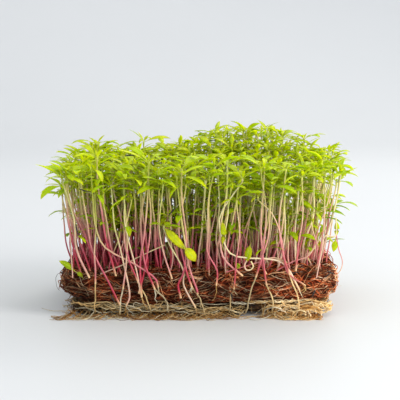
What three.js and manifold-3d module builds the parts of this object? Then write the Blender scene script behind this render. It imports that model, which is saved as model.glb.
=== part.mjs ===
// Marigold microgreens on the slab of coir matting that they were sown on, lifted out of their tray.
// The slab is pressed coconut fibre. The seedlings' roots have grown through it and lie under it as a
// pale tangle, which is what the block rests on. Above it stand thin stems, in tufts of three, and each
// stem carries two seed leaves and one or two narrow true leaves. The leaves of a tuft touch.
// Millimetres, +Z up. The origin is on the surface that the block rests on, under the slab's middle.
// +X runs along the slab, and -Y is the front.
import * as THREE from "three";
import { mergeVertices } from "three/addons/utils/BufferGeometryUtils.js";
import Module from "manifold-3d";

// Driving dimensions of the slab and its roots.
const SLAB_LENGTH = 140;
const SLAB_DEPTH = 88;
const SLAB_THICKNESS = 16;
const SLAB_CORNER = 9;
const ROOT_THICKNESS = 6; // under the slab's left half
const ROOT_RISE = 2.5; // how much thicker the roots are at the slab's right end
const ROOT_INSET = 5; // from the slab's side to the side of the roots under it
const ROOT_STRAND = 1.0;
const COIR_STRAND = 1.1;
const GAP = 0.35; // between pieces that touch

// Driving dimensions of the plants.
const TUFTS_IN_ROWS = [6, 5, 6, 5, 6];
const ROW_LENGTH = 108; // between the first and the last tuft of a row
const ROW_PITCH = 17;
const SEEDLINGS = 3; // in a tuft
const TUFT_SPREAD = 6.3; // from a tuft's middle to its crowns
const LEAN_OUT = 1.16; // how much further out the crowns stand than the feet
const CROWN_HEIGHT = 75; // of the tallest tufts in the middle, above the surface
const CROWN_BACK = 3; // how much higher the back crowns are
const HILL = { x: 26, y: 28, height: 11, radius: 32 }; // where the canopy is taller still
const CROWN_SPREAD = 6; // from the lowest to the highest of a tuft
const TUFT_DROP = 12; // how much lower than the tallest tufts the shortest are
const STEM_WIDTH = 1.3;
const SOCKET_RADIUS = 3; // of the plain hole that a tuft stands in
const SOCKET_DEPTH = 9;
const SEED_LEAF = { length: 13.5, width: 4.2, lift: 0.75, droop: 1.1 };
const TRUE_LEAF = { length: 11.5, width: 3.3, lift: 0.85, droop: 0.9 };
const LEAF_THICKNESS = 0.7;
const LEAF_CLEARANCE = 2.1; // between marks on the leaves and stems of different pieces
const BUD_RADIUS = 0.85;
const BUD_HEIGHT = 1.5;
const LEAF_SPACING = 1.0; // least turn between two leaves of a crown

const wasm = await Module();
wasm.setup();

const V = (x, y, z) => new THREE.Vector3(x, y, z);
const mix = (a, b, t) => a + (b - a) * t;
const smooth = (t) => {
  const share = Math.min(1, Math.max(0, t));
  return share * share * (3 - 2 * share);
};

// Seeded draws from 0 to 1, so that the block grows the same every time.
function drawsFor(seed) {
  let state = seed * 7919;
  return () => {
    state = (state + 0x6d2b79f5) | 0;
    let t = Math.imul(state ^ (state >>> 15), state | 1);
    t ^= t + Math.imul(t ^ (t >>> 7), t | 61);
    return ((t ^ (t >>> 14)) >>> 0) / 4294967296;
  };
}

// A closed mesh as a solid that can be joined and cut.
function solid(geometry) {
  const plain = geometry.clone();
  plain.deleteAttribute("normal");
  plain.deleteAttribute("uv");
  const merged = mergeVertices(plain, 1e-5);
  return new wasm.Manifold(
    new wasm.Mesh({
      numProp: 3,
      vertProperties: new Float32Array(merged.attributes.position.array),
      triVerts: new Uint32Array(merged.index.array),
    }),
  );
}

function geometryOf(made) {
  const mesh = made.getMesh();
  const geometry = new THREE.BufferGeometry();
  geometry.setAttribute("position", new THREE.BufferAttribute(mesh.vertProperties, 3));
  geometry.setIndex(new THREE.BufferAttribute(mesh.triVerts, 1));
  const flat = geometry.toNonIndexed();
  flat.computeVertexNormals();
  return flat;
}

const joined = (solids) => solids.reduce((all, next) => all.add(next));

// The triangles between two rings. A ring has one point, or as many as the other, turning left along
// the row.
function band(here, next) {
  const around = Math.max(here.length, next.length);
  const corners = [];
  for (let i = 0; i < around; i++) {
    const j = (i + 1) % around;
    const at = (ring, k) => ring[ring.length > 1 ? k : 0];
    if (here.length > 1) corners.push(at(here, i), at(here, j), at(next, j));
    if (next.length > 1) corners.push(at(here, i), at(next, j), at(next, i));
  }
  return corners;
}

// The triangles that close a ring, facing along the row.
function cap(ring) {
  const corners = [];
  for (let i = 1; i + 1 < ring.length; i++) corners.push(ring[0], ring[i], ring[i + 1]);
  return corners;
}

// The solid that a row of rings makes with both ends closed.
function skin(rings) {
  const corners = [...cap([...rings[0]].reverse()), ...cap(rings.at(-1))];
  for (let r = 0; r + 1 < rings.length; r++) corners.push(...band(rings[r], rings[r + 1]));
  return new THREE.BufferGeometry().setFromPoints(corners);
}

// A three-sided strand of one thickness along a curve.
function strand(curve, width, steps) {
  const corners = [0, 1, 2].map((i) => {
    const angle = (i * 2 * Math.PI) / 3;
    return new THREE.Vector2(Math.cos(angle), Math.sin(angle)).multiplyScalar(width / 1.7);
  });
  const options = { steps, extrudePath: curve, bevelEnabled: false };
  return solid(new THREE.ExtrudeGeometry(new THREE.Shape(corners), options));
}

// ---- the slab ----

// The slab's underside is higher at its right end, where the roots are thicker.
const slabUnderside = (x) => ROOT_THICKNESS + ROOT_RISE * smooth(x / (SLAB_LENGTH / 2));
const slabTop = (x) => slabUnderside(x) + SLAB_THICKNESS;

// An uneven surface, as pressed fibre has: ridges that run along the slab, and hollows.
const unevenness = (x, y, z) =>
  0.45 * Math.sin(0.23 * x + 1.9 * z) + 0.4 * Math.sin(0.41 * y - 1.3 * z + 0.11 * x);

// A rounded rectangle's points at a distance inside the slab's sides.
function outline(inset, count) {
  const x = SLAB_LENGTH / 2 - inset;
  const y = SLAB_DEPTH / 2 - inset;
  const r = Math.min(SLAB_CORNER, y - 1);
  const shape = new THREE.Path();
  shape.moveTo(0, -y);
  shape.absarc(x - r, r - y, r, -Math.PI / 2, 0);
  shape.absarc(x - r, y - r, r, 0, Math.PI / 2);
  shape.absarc(r - x, y - r, r, Math.PI / 2, Math.PI);
  shape.absarc(r - x, r - y, r, Math.PI, 1.5 * Math.PI);
  shape.lineTo(0, -y);
  return shape.getSpacedPoints(count).slice(0, count);
}

// How far the slab's left end is undercut, at a share of the slab's height.
const undercut = (x, share) => 9 * smooth((-x - 45) / 20) * smooth((0.45 - share) / 0.45);

// The slab's body, from the middle of its underside out, up its sides and in over its top. Its sides
// show the layers that it is pressed from.
function slabBody() {
  const SIDES = 44;
  const levels = [
    { share: 0.02, inset: 24 },
    { share: 0, inset: 5.5 },
    { share: 0.1, inset: 2.4 },
    { share: 0.24, inset: 0.4 },
    { share: 0.32, inset: 1.9 },
    { share: 0.42, inset: 0.2 },
    { share: 0.56, inset: 0.1 },
    { share: 0.64, inset: 1.8 },
    { share: 0.74, inset: 0.4 },
    { share: 0.9, inset: 1.5 },
    { share: 1, inset: 4.5 },
    { share: 0.98, inset: 22 },
  ];
  const rings = levels.map(({ share, inset }) =>
    outline(inset, SIDES).map(({ x, y }) => {
      const bump = unevenness(x, y, share * SLAB_THICKNESS);
      const out = new THREE.Vector2(x, y).setLength(inset < 4 ? bump : 0);
      const z = slabUnderside(x) + share * SLAB_THICKNESS;
      const up = share > 0.1 ? 0.5 * bump : 0.3 * Math.abs(bump);
      return V(x + undercut(x, share) + out.x, y + out.y, z + up);
    }),
  );
  const bottom = [V(0, 0, slabUnderside(0) + 0.4)];
  const top = [V(0, 0, slabTop(0))];
  return solid(skin([bottom, ...rings, top]));
}

// Points round the slab at a distance inside its sides, with the ways along its side and out of it.
function stationsRound(inset, count) {
  const FINE = 6;
  const ring = outline(inset, FINE * count);
  return Array.from({ length: count }, (_, i) => {
    const along = ring[FINE * i + 1].clone().sub(ring[FINE * i]).normalize();
    return { point: ring[FINE * i], along, out: new THREE.Vector2(along.y, -along.x) };
  });
}

// Loose coconut fibres that stand out of the slab's sides and come back into them.
function coirStrands() {
  const COUNT = 13;
  const INSET = 3;
  return stationsRound(INSET, COUNT).map(({ point, along, out }, i) => {
    const draw = drawsFor(900 + i);
    const z = slabUnderside(point.x) + mix(4, SLAB_THICKNESS - 3, draw());
    const half = mix(7, 12, draw());
    const proud = INSET + mix(0.5, 1.2, draw());
    const at = (share, far, rise) => {
      const side = share * half;
      return V(point.x + side * along.x + far * out.x, point.y + side * along.y + far * out.y, z + rise);
    };
    const points = [
      at(-1, -INSET, 0),
      at(-0.5, proud, mix(-1.5, 1.5, draw())),
      at(0.5, proud, mix(-1.5, 1.5, draw())),
      at(1, -INSET, mix(-2, 2, draw())),
    ];
    return strand(new THREE.CatmullRomCurve3(points), COIR_STRAND, 5);
  });
}

// A plain hole in the slab's top for one tuft.
function socket(tuft) {
  const hole = new THREE.CylinderGeometry(SOCKET_RADIUS, SOCKET_RADIUS, 2 * SOCKET_DEPTH, 6);
  hole.rotateX(Math.PI / 2);
  return solid(hole.translate(tuft.x, tuft.y, slabTop(tuft.x)));
}

// ---- the roots ----

// The roots lie flat on the surface, with one hollow across the front right.
function rootUnderside(x, y) {
  const across = Math.exp(-(((x - 26) / 5) ** 2));
  return 3 * across * smooth((4 - y) / 20);
}

function rootBody() {
  const SIDES = 40;
  const levels = [
    { rise: 0, inset: 26 },
    { rise: 0, inset: ROOT_INSET + 4 },
    { rise: 0.12, inset: ROOT_INSET },
    { rise: 0.6, inset: ROOT_INSET - 0.6 },
    { rise: 1, inset: ROOT_INSET + 3.5 },
  ];
  const rings = levels.map(({ rise, inset }) =>
    outline(inset, SIDES).map(({ x, y }) => {
      const bump = inset > 24 ? 0 : 1.1 * unevenness(1.9 * x, 1.7 * y, 3 * rise);
      const out = new THREE.Vector2(x, y).setLength(bump);
      const top = slabUnderside(x) - GAP;
      return V(x + out.x, y + out.y, mix(rootUnderside(x, y), top, rise));
    }),
  );
  const bottom = [V(0, 0, 0)];
  const top = [V(0, 0, slabUnderside(0) - GAP)];
  return solid(skin([bottom, ...rings, top]));
}

// Root ends that leave the tangle, come down on the surface and turn along it.
function rootFringe() {
  const COUNT = 22;
  return stationsRound(ROOT_INSET + 4, COUNT).map(({ point, along, out }, i) => {
    const draw = drawsFor(700 + i);
    const turn = mix(-1, 1, draw());
    const reach = mix(7, 12, draw());
    const at = (share, turned, z) => {
      const far = share * reach;
      const side = turned * turn * reach;
      return V(point.x + side * along.x + far * out.x, point.y + side * along.y + far * out.y, z);
    };
    const low = ROOT_STRAND / 1.7 + 0.05;
    const points = [at(-0.4, 0, 2.4), at(0.45, 0.1, 2.2), at(0.95, 0.5, low), at(1.05, 1.3, low)];
    return strand(new THREE.CatmullRomCurve3(points), ROOT_STRAND, 6);
  });
}

// Roots that run up the slab's front face, as bare stem feet do.
function rootRisers() {
  const COUNT = 9;
  const FACE = SLAB_DEPTH / 2 + 2.8;
  return Array.from({ length: COUNT }, (_, i) => {
    const draw = drawsFor(800 + i);
    const x = mix(-56, 56, (i + mix(0.2, 0.8, draw())) / COUNT);
    const lean = mix(-7, 7, draw());
    const height = slabUnderside(x) + mix(8, 15, draw());
    const points = [
      V(x, 9 - FACE, 2.4),
      V(x, 0.8 - FACE, 2.6),
      V(x + 0.2 * lean, -FACE, slabUnderside(x) + 3),
      V(x + lean, -FACE - 0.3, height),
    ];
    return strand(new THREE.CatmullRomCurve3(points), ROOT_STRAND, 6);
  });
}

// ---- where the plants stand ----

function tuftPlaces() {
  const places = [];
  TUFTS_IN_ROWS.forEach((count, row) => {
    for (let column = 0; column < count; column++) {
      const draw = drawsFor(100 + places.length);
      const x = (column / (count - 1) - 0.5) * ROW_LENGTH + mix(-1.2, 1.2, draw());
      const y = (row - (TUFTS_IN_ROWS.length - 1) / 2) * ROW_PITCH + mix(-1.2, 1.2, draw());
      places.push({ x, y, draw });
    }
  });
  return places;
}

// The canopy's hill: 1 at its middle, falling to 0 away from it.
function hillAt(x, y) {
  const fromMiddle = Math.hypot(x - HILL.x, y - HILL.y) / HILL.radius;
  return Math.exp(-(fromMiddle ** 2));
}

const crownHeight = (x, y) =>
  CROWN_HEIGHT + (CROWN_BACK * y) / (SLAB_DEPTH / 2) + HILL.height * hillAt(x, y);

// The line of one stem, from its foot in the slab to its crown. It is clear of the slab before it bends.
function stemLine(tuft, crown, sway) {
  const lean = new THREE.Vector2(crown.x - tuft.x, crown.y - tuft.y).clampLength(0, 6);
  const foot = V(tuft.x + 0.1 * lean.x, tuft.y + 0.1 * lean.y, slabTop(tuft.x) - SOCKET_DEPTH / 2);
  const rise = (crown.z - foot.z) / 3;
  const low = V(foot.x + 0.22 * lean.x + sway.x, foot.y + 0.22 * lean.y + sway.y, foot.z + rise);
  const high = V(mix(foot.x, crown.x, 0.95), mix(foot.y, crown.y, 0.95), crown.z - rise);
  return new THREE.CubicBezierCurve3(foot, low, high, crown);
}

// One tuft: its stems and crowns, at equal turns round its middle.
function grow(tuft) {
  const { draw } = tuft;
  const turn = 2 * Math.PI * draw();
  const onHill = hillAt(LEAN_OUT * tuft.x, LEAN_OUT * tuft.y);
  const drop = TUFT_DROP * draw() ** 1.5 * (1 - onHill);
  tuft.stems = [];
  for (let i = 0; i < SEEDLINGS; i++) {
    const angle = turn + (2 * Math.PI * i) / SEEDLINGS + mix(-0.25, 0.25, draw());
    const reach = TUFT_SPREAD * mix(0.85, 1.15, draw());
    const x = LEAN_OUT * tuft.x + reach * Math.cos(angle);
    const y = LEAN_OUT * tuft.y + reach * Math.sin(angle);
    const z = crownHeight(x, y) - drop + CROWN_SPREAD * (draw() - 0.5);
    const sway = { x: mix(-2, 2, draw()), y: mix(-2, 2, draw()) };
    tuft.stems.push({ crown: V(x, y, z), line: stemLine(tuft, V(x, y, z), sway) });
  }
  tuft.leaves = [];
}

// ---- leaves ----

// A leaf starts at its crown and leaves it at an angle, lift, above the level. It turns down by droop
// along its length.
function leafPoint(leaf, share) {
  const { crown, turn, lift, droop, length } = leaf;
  const radius = length / droop;
  const level = radius * (Math.sin(lift) - Math.sin(lift - droop * share));
  const up = radius * (Math.cos(lift - droop * share) - Math.cos(lift));
  return V(crown.x + level * Math.cos(turn), crown.y + level * Math.sin(turn), crown.z + up);
}

const leafSide = (leaf) => V(-Math.sin(leaf.turn), Math.cos(leaf.turn), 0);

// The end of the stalk and the widest part of the blade, which then ends in a blunt point.
const LEAF_OUTLINE = [
  { share: 0.3, width: 0.45 },
  { share: 0.7, width: 1 },
];

function leafRings(leaf) {
  const side = leafSide(leaf);
  const rings = LEAF_OUTLINE.map(({ share, width }) => {
    const point = leafPoint(leaf, share);
    const angle = leaf.lift - leaf.droop * share;
    const level = -Math.sin(angle);
    const normal = V(level * Math.cos(leaf.turn), level * Math.sin(leaf.turn), Math.cos(angle));
    const half = (width * leaf.width) / 2;
    const corner = (left, up) =>
      point
        .clone()
        .addScaledVector(side, left * half)
        .addScaledVector(normal, (up * LEAF_THICKNESS) / 2);
    return [corner(1, -1), corner(1, 1), corner(-1, 1), corner(-1, -1)];
  });
  return [...rings, [leafPoint(leaf, 1)]];
}

// Marks on a leaf, close enough together that another leaf can't pass between them.
function leafMarks(leaf) {
  const side = leafSide(leaf);
  const marks = [];
  for (let step = 1; step <= 9; step++) {
    const point = leafPoint(leaf, step / 9);
    const half = step < 3 ? 0.3 : step > 8 ? 0.2 : leaf.width / 2;
    for (const share of step < 3 ? [0] : [-1, 0, 1])
      marks.push(point.clone().addScaledVector(side, share * half));
  }
  return marks;
}

function stemMarks(line) {
  return line.getPoints(34);
}

// The marks of everything placed so far, with the piece that each belongs to.
const placed = [];

function place(piece, marks) {
  marks.forEach((point) => placed.push({ piece, point }));
}

function isClear(piece, marks) {
  const near = placed.filter((p) => p.piece !== piece && p.point.distanceTo(marks[0]) < 20);
  return marks.every((mark) => near.every((p) => p.point.distanceTo(mark) > LEAF_CLEARANCE));
}

function addLeaf(tuft, leaf) {
  tuft.leaves.push(leaf);
  leaf.crown.taken = [...(leaf.crown.taken ?? []), leaf.turn];
  place(tuft.leafPiece, leafMarks(leaf));
}

// A leaf from one crown to the next, which holds the leaves of a tuft together.
function touchingLeaf(from, to) {
  const droop = 1.3;
  const across = Math.hypot(to.x - from.x, to.y - from.y);
  const lift = Math.atan2(to.z - from.z, across) + droop / 2;
  const length = (from.distanceTo(to) * (droop / 2)) / Math.sin(droop / 2);
  const turn = Math.atan2(to.y - from.y, to.x - from.x);
  return { crown: from, turn, lift, droop, length, width: SEED_LEAF.width };
}

// Tries a leaf at one crown in several ways, each further from the wanted one, until it is clear.
function tryLeaf(tuft, crown, form, wantedTurn) {
  const TRIES = 26;
  for (let n = 0; n < TRIES; n++) {
    const loose = 0.25 + (1.1 * n) / TRIES;
    const size = mix(0.85, 1.12, tuft.draw()) * (1 - (0.3 * n) / TRIES);
    const leaf = {
      crown,
      turn: wantedTurn + loose * mix(-1, 1, tuft.draw()),
      lift: form.lift + 0.35 * mix(-1, 1, tuft.draw()),
      droop: form.droop + 0.35 * mix(-1, 1, tuft.draw()),
      length: size * form.length,
      width: size * form.width,
    };
    const apart = (turn) => Math.acos(Math.cos(turn - leaf.turn)) > LEAF_SPACING;
    if ((crown.taken ?? []).every(apart) && isClear(tuft.leafPiece, leafMarks(leaf))) {
      addLeaf(tuft, leaf);
      return;
    }
  }
}

// A crown's leaves: a pair of seed leaves, opposite, and true leaves across them.
function addCrownLeaves(tuft, crown, firstTurn, seedLeaves, trueLeaves) {
  for (let i = 0; i < seedLeaves; i++) tryLeaf(tuft, crown, SEED_LEAF, firstTurn + i * Math.PI);
  for (let i = 0; i < trueLeaves; i++) tryLeaf(tuft, crown, TRUE_LEAF, firstTurn + (i + 0.5) * Math.PI);
}

// ---- solids of the plants ----

// The stems of a tuft, which meet in one root collar in their socket.
function stemsSolid(tuft) {
  const STEPS = 4;
  const collarHeight = SOCKET_DEPTH - GAP;
  const radius = SOCKET_RADIUS - GAP;
  const collar = new THREE.CylinderGeometry(0.8 * radius, radius - 0.1, collarHeight, 6);
  collar.rotateX(Math.PI / 2);
  collar.translate(tuft.x, tuft.y, slabTop(tuft.x) - collarHeight / 2 - 0.1);
  const stems = tuft.stems.map(({ line }) => strand(line, STEM_WIDTH, STEPS));
  return joined([solid(collar), ...stems]);
}

const budOffset = BUD_HEIGHT / 2 + GAP;

const FULL_TURN = 2 * Math.PI;

// The bud's sides in the order of their turns: one for each leaf, and bare ones in the widest gaps.
function budSides(leaves) {
  const sides = leaves.map((leaf) => ({ leaf, turn: THREE.MathUtils.euclideanModulo(leaf.turn, FULL_TURN) }));
  for (;;) {
    sides.sort((a, b) => a.turn - b.turn);
    sides.forEach((side, i) => {
      const next = sides[(i + 1) % sides.length].turn + (i + 1 < sides.length ? 0 : FULL_TURN);
      side.gap = next - side.turn;
    });
    if (sides.length >= 3) return sides;
    const widest = sides.reduce((a, b) => (b.gap > a.gap ? b : a));
    sides.push({ turn: (widest.turn + widest.gap / 2) % FULL_TURN });
  }
}

// One crown: a bud with a flat side for each leaf, and the leaf's blade growing out of that side.
function crownSolid(crown, leaves) {
  const sides = budSides(leaves);
  const edge = (i, up) => {
    const angle = sides[i].turn + sides[i].gap / 2;
    const point = V(Math.cos(angle), Math.sin(angle), 0).multiplyScalar(BUD_RADIUS);
    return point.add(crown).setZ(crown.z + (up * BUD_HEIGHT) / 2);
  };
  const low = sides.map((_, i) => edge(i, -1));
  const high = sides.map((_, i) => edge(i, 1));
  const corners = [...cap(high), ...cap([...low].reverse())];
  sides.forEach(({ leaf }, i) => {
    const before = (i + sides.length - 1) % sides.length;
    const base = [low[i], high[i], high[before], low[before]];
    const rings = leaf ? [base, ...leafRings(leaf)] : [base];
    for (let r = 0; r + 1 < rings.length; r++) corners.push(...band(rings[r], rings[r + 1]));
    if (!leaf) corners.push(...cap(base));
  });
  return solid(new THREE.BufferGeometry().setFromPoints(corners));
}

function leavesSolid(crowns, leaves) {
  return joined(crowns.map((crown) => crownSolid(crown, leaves.filter((leaf) => leaf.crown === crown))));
}

// ---- the block ----

const materials = {
  coir: new THREE.MeshStandardMaterial({ color: 0x5a2c1a, roughness: 0.95 }),
  roots: new THREE.MeshStandardMaterial({ color: 0xc9b078, roughness: 0.8 }),
  stems: new THREE.MeshStandardMaterial({ color: 0xc4677a, roughness: 0.5 }),
  leaves: new THREE.MeshStandardMaterial({ color: 0x9dbb1c, roughness: 0.5 }),
};

const block = new THREE.Group();

function addPiece(name, made, material) {
  const mesh = new THREE.Mesh(geometryOf(made), material);
  mesh.name = name;
  block.add(mesh);
}

const numbered = (name, i) => `${name}_${String(i + 1).padStart(2, "0")}`;

const tufts = tuftPlaces();
tufts.forEach(grow);

// Two crowns stand much lower than the canopy, at the slab's front corners, on stems of their own. The
// stems bend inwards first, and so clear the rims of their sockets.
const LOW_CROWNS = [
  { name: "leaves_low_left", tuft: tufts[0], crown: V(-68, -36, 59), turn: 3.0 },
  { name: "leaves_low_right", tuft: tufts[5], crown: V(67, -35, 53), turn: 0.3 },
];
LOW_CROWNS.forEach(({ tuft, crown }) => {
  const sway = { x: -3 * Math.sign(crown.x), y: 0 };
  tuft.stems.push({ crown, line: stemLine(tuft, crown, sway), low: true });
});

tufts.forEach((tuft, i) => {
  tuft.leafPiece = numbered("leaves", i);
  tuft.stems.forEach((stem) => {
    stem.leafCrown = stem.crown.clone().setZ(stem.crown.z + budOffset);
    place(numbered("stems", i), stemMarks(stem.line));
    if (!stem.low) place(tuft.leafPiece, [stem.leafCrown]);
  });
  tuft.crowns = tuft.stems.filter((stem) => !stem.low).map((stem) => stem.leafCrown);
});

tufts.forEach((tuft) => {
  [0, 1].forEach((i) => {
    const leaf = touchingLeaf(tuft.crowns[i], tuft.crowns[i + 1]);
    addLeaf(tuft, leaf);
    tuft.crowns[i + 1].taken = [leaf.turn + Math.PI];
  });
});

const lowTufts = LOW_CROWNS.map(({ name, tuft, turn }, i) => {
  const crown = tuft.stems.at(-1).leafCrown;
  const low = { leafPiece: name, leaves: [], crowns: [crown], draw: drawsFor(300 + i) };
  addCrownLeaves(low, crown, turn, 2, 2);
  return low;
});

tufts.forEach((tuft) => {
  const [a, b, c] = tuft.crowns;
  const away = (from, to) => Math.atan2(from.y - to.y, from.x - to.x);
  addCrownLeaves(tuft, c, away(c, a), 2, 1);
  addCrownLeaves(tuft, a, away(a, b), 1, 2);
  addCrownLeaves(tuft, b, away(b, c) + 0.6, 1, 1);
});

const sockets = joined(tufts.map(socket));
addPiece("coir_slab", joined([slabBody(), ...coirStrands()]).subtract(sockets), materials.coir);
addPiece("roots", joined([rootBody(), ...rootFringe(), ...rootRisers()]), materials.roots);
tufts.forEach((tuft, i) => {
  addPiece(numbered("stems", i), stemsSolid(tuft), materials.stems);
  addPiece(tuft.leafPiece, leavesSolid(tuft.crowns, tuft.leaves), materials.leaves);
});
lowTufts.forEach((low) => {
  addPiece(low.leafPiece, leavesSolid(low.crowns, low.leaves), materials.leaves);
});

export default block;
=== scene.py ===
# A block of marigold microgreens, lifted out of its tray: seedlings on a slab of matted coconut fibre.
# The slab comes first, then the stems, the leaves, the roots under the slab and the odd leaves and husks.
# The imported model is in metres. Sizes below are in millimetres, and MM turns them into metres. What a node
# tree or a material is given is in metres.
import math
import bpy
import numpy as np
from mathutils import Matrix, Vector, noise


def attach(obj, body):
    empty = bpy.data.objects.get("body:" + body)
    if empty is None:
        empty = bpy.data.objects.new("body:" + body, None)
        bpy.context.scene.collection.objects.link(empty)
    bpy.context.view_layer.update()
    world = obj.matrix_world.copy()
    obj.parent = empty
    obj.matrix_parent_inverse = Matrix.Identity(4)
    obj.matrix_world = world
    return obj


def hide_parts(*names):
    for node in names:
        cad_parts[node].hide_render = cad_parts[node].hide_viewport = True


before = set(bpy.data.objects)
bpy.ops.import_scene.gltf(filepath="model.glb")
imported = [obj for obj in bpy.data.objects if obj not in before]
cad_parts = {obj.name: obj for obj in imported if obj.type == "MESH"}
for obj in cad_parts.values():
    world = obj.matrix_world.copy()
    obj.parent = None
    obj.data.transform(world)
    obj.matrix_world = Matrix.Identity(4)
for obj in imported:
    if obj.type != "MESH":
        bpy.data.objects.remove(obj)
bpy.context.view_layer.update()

# The surface that the block stands on: a pale, matt studio sweep that turns up a long way behind it. It is
# lit by the pale sky all round, by a soft lamp at the front right and by a weaker one behind the leaves.
MM = 0.001
SWEEP_WIDTH = 4200
SWEEP_FRONT = -1500
SWEEP_BEND = 900
SWEEP_RADIUS = 500
SWEEP_STEPS = 12
SWEEP_HEIGHT = 1500
SWEEP_COLOUR = (0.74, 0.75, 0.76)
SKY_COLOUR = (0.92, 0.95, 0.98, 1)
SKY_STRENGTH = 0.96


def mesh_object(name, points, faces, edges=()):
    mesh = bpy.data.meshes.new(name)
    mesh.from_pydata([tuple(p) for p in points], list(edges), list(faces))
    mesh.update()
    made = bpy.data.objects.new(name, mesh)
    bpy.context.scene.collection.objects.link(made)
    return made


def shade_smooth(mesh):
    mesh.polygons.foreach_set("use_smooth", [True] * len(mesh.polygons))


def sweep_profile():
    line = [(SWEEP_FRONT, 0), (SWEEP_BEND, 0)]
    for step in range(1, SWEEP_STEPS + 1):
        angle = math.radians(90 * step / SWEEP_STEPS)
        line.append((SWEEP_BEND + SWEEP_RADIUS * math.sin(angle), SWEEP_RADIUS * (1 - math.cos(angle))))
    line.append((SWEEP_BEND + SWEEP_RADIUS, SWEEP_HEIGHT))
    return line


profile = sweep_profile()
sweep_points = [(side * SWEEP_WIDTH / 2 * MM, y * MM, z * MM) for y, z in profile for side in (-1, 1)]
sweep_faces = [(2 * i, 2 * i + 1, 2 * i + 3, 2 * i + 2) for i in range(len(profile) - 1)]
sweep = mesh_object("studio_sweep", sweep_points, sweep_faces)
shade_smooth(sweep.data)


def fill(tree, node, inputs):
    """Gives each of a node's inputs a value, or joins it to another node's output."""
    for socket, value in inputs.items():
        if isinstance(value, bpy.types.NodeSocket):
            tree.links.new(value, node.inputs[socket])
        else:
            node.inputs[socket].default_value = value


def node_adder(tree):
    """A function that adds a node to a tree, with its settings and its inputs."""

    def add(kind, inputs=None, **settings):
        node = tree.nodes.new(kind)
        for name, value in settings.items():
            setattr(node, name, value)
        fill(tree, node, inputs or {})
        return node

    return add


def new_material(name):
    """A material, a function that adds a node to it and one that sets its surface."""
    material = bpy.data.materials.new(name)
    material.use_nodes = True
    tree = material.node_tree
    return material, node_adder(tree), lambda inputs: fill(tree, tree.nodes["Principled BSDF"], inputs)


def ramp(add, value, stops):
    """The colour of a value on a ramp with stops of (place, colour)."""
    node = add("ShaderNodeValToRGB", {"Fac": value})
    elements = node.color_ramp.elements
    while len(elements) < len(stops):
        elements.new(0.5)
    for element, (place, colour) in zip(elements, stops):
        element.position = place
        element.color = (*colour, 1)
    return node.outputs["Color"]


def grain(add, scale, detail, **more):
    """Noise that lies still in a piece."""
    more.update(Vector=add("ShaderNodeTexCoord").outputs["Object"], Scale=scale, Detail=detail)
    return add("ShaderNodeTexNoise", more).outputs["Fac"]


matt_white, add, surface = new_material("matt_white_sweep")
greys = [(0, [0.97 * c for c in SWEEP_COLOUR]), (1, SWEEP_COLOUR)]
surface({"Base Color": ramp(add, grain(add, 6, 3), greys), "Roughness": 0.55})
sweep.data.materials.append(matt_white)

world = bpy.data.worlds.new("pale_sky")
world.use_nodes = True
fill(world.node_tree, world.node_tree.nodes["Background"], {"Color": SKY_COLOUR, "Strength": SKY_STRENGTH})
bpy.context.scene.world = world


def soft_lamp(name, place, target, size, power, colour):
    lamp = bpy.data.lights.new(name, "AREA")
    lamp.shape = "DISK"
    lamp.size = size
    lamp.energy = power
    lamp.color = colour
    made = bpy.data.objects.new(name, lamp)
    bpy.context.scene.collection.objects.link(made)
    made.location = place
    made.rotation_euler = (Vector(target) - Vector(place)).to_track_quat("-Z", "Y").to_euler()


soft_lamp("window", (0.85, -0.42, 0.42), (0.02, 0, 0.05), 0.6, 7.5, (1.0, 0.97, 0.94))
soft_lamp("behind_the_leaves", (0.35, 0.75, 0.75), (0, 0, 0.06), 0.6, 2.6, (1.0, 0.99, 0.93))

# The camera stands low in front, 600 mm from the slab's face, and looks down a little, as in the photograph.
CAMERA_AWAY = 644
CAMERA_UP = 140
CAMERA_RIGHT = 0.75
HORIZON_ABOVE_MIDDLE = 160
FOCAL_PIXELS = 1200
IMAGE_PIXELS = 400
lens = bpy.data.cameras.new("camera")
lens.lens = FOCAL_PIXELS / IMAGE_PIXELS * lens.sensor_width
lens.clip_start = 0.02
camera = bpy.data.objects.new("camera", lens)
bpy.context.scene.collection.objects.link(camera)
camera.location = (CAMERA_RIGHT * MM, -CAMERA_AWAY * MM, CAMERA_UP * MM)
camera.rotation_euler = (math.radians(90) - math.atan(HORIZON_ABOVE_MIDDLE / FOCAL_PIXELS), 0, 0)
bpy.context.scene.camera = camera
bpy.context.scene.view_settings.view_transform = "Standard"

# The slab under it all: pressed coconut fibre in layers, its sides furrowed where one layer meets the next.
# Its underside rises to the right, and its left end is undercut. The stems' holes close up round them.
SLAB_LENGTH = 140
SLAB_DEPTH = 88
SLAB_THICKNESS = 16
SLAB_CORNER = 9
ROOT_THICKNESS = 6
ROOT_RISE = 2.5
SLAB_PROFILE = [(0.02, 24), (0, 5.5), (0.1, 2.4), (0.24, 0.4), (0.32, 1.9), (0.42, 0.2), (0.56, 0.1),
                (0.64, 1.8), (0.74, 0.4), (0.9, 1.5), (1, 4.5)]
SLAB_AROUND = 230
UNDERCUT = 9


def smooth(share):
    share = min(1, max(0, share))
    return share * share * (3 - 2 * share)


def mix(low, high, share):
    return low + (high - low) * share


def slab_underside(x):
    return ROOT_THICKNESS + ROOT_RISE * smooth(x / (SLAB_LENGTH / 2))


def slab_top(x):
    return slab_underside(x) + SLAB_THICKNESS


def undercut(x, share):
    return UNDERCUT * smooth((-x - 45) / 20) * smooth((0.45 - share) / 0.45)


def unevenness(x, y, z):
    return 0.45 * math.sin(0.23 * x + 1.9 * z) + 0.4 * math.sin(0.41 * y - 1.3 * z + 0.11 * x)


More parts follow.
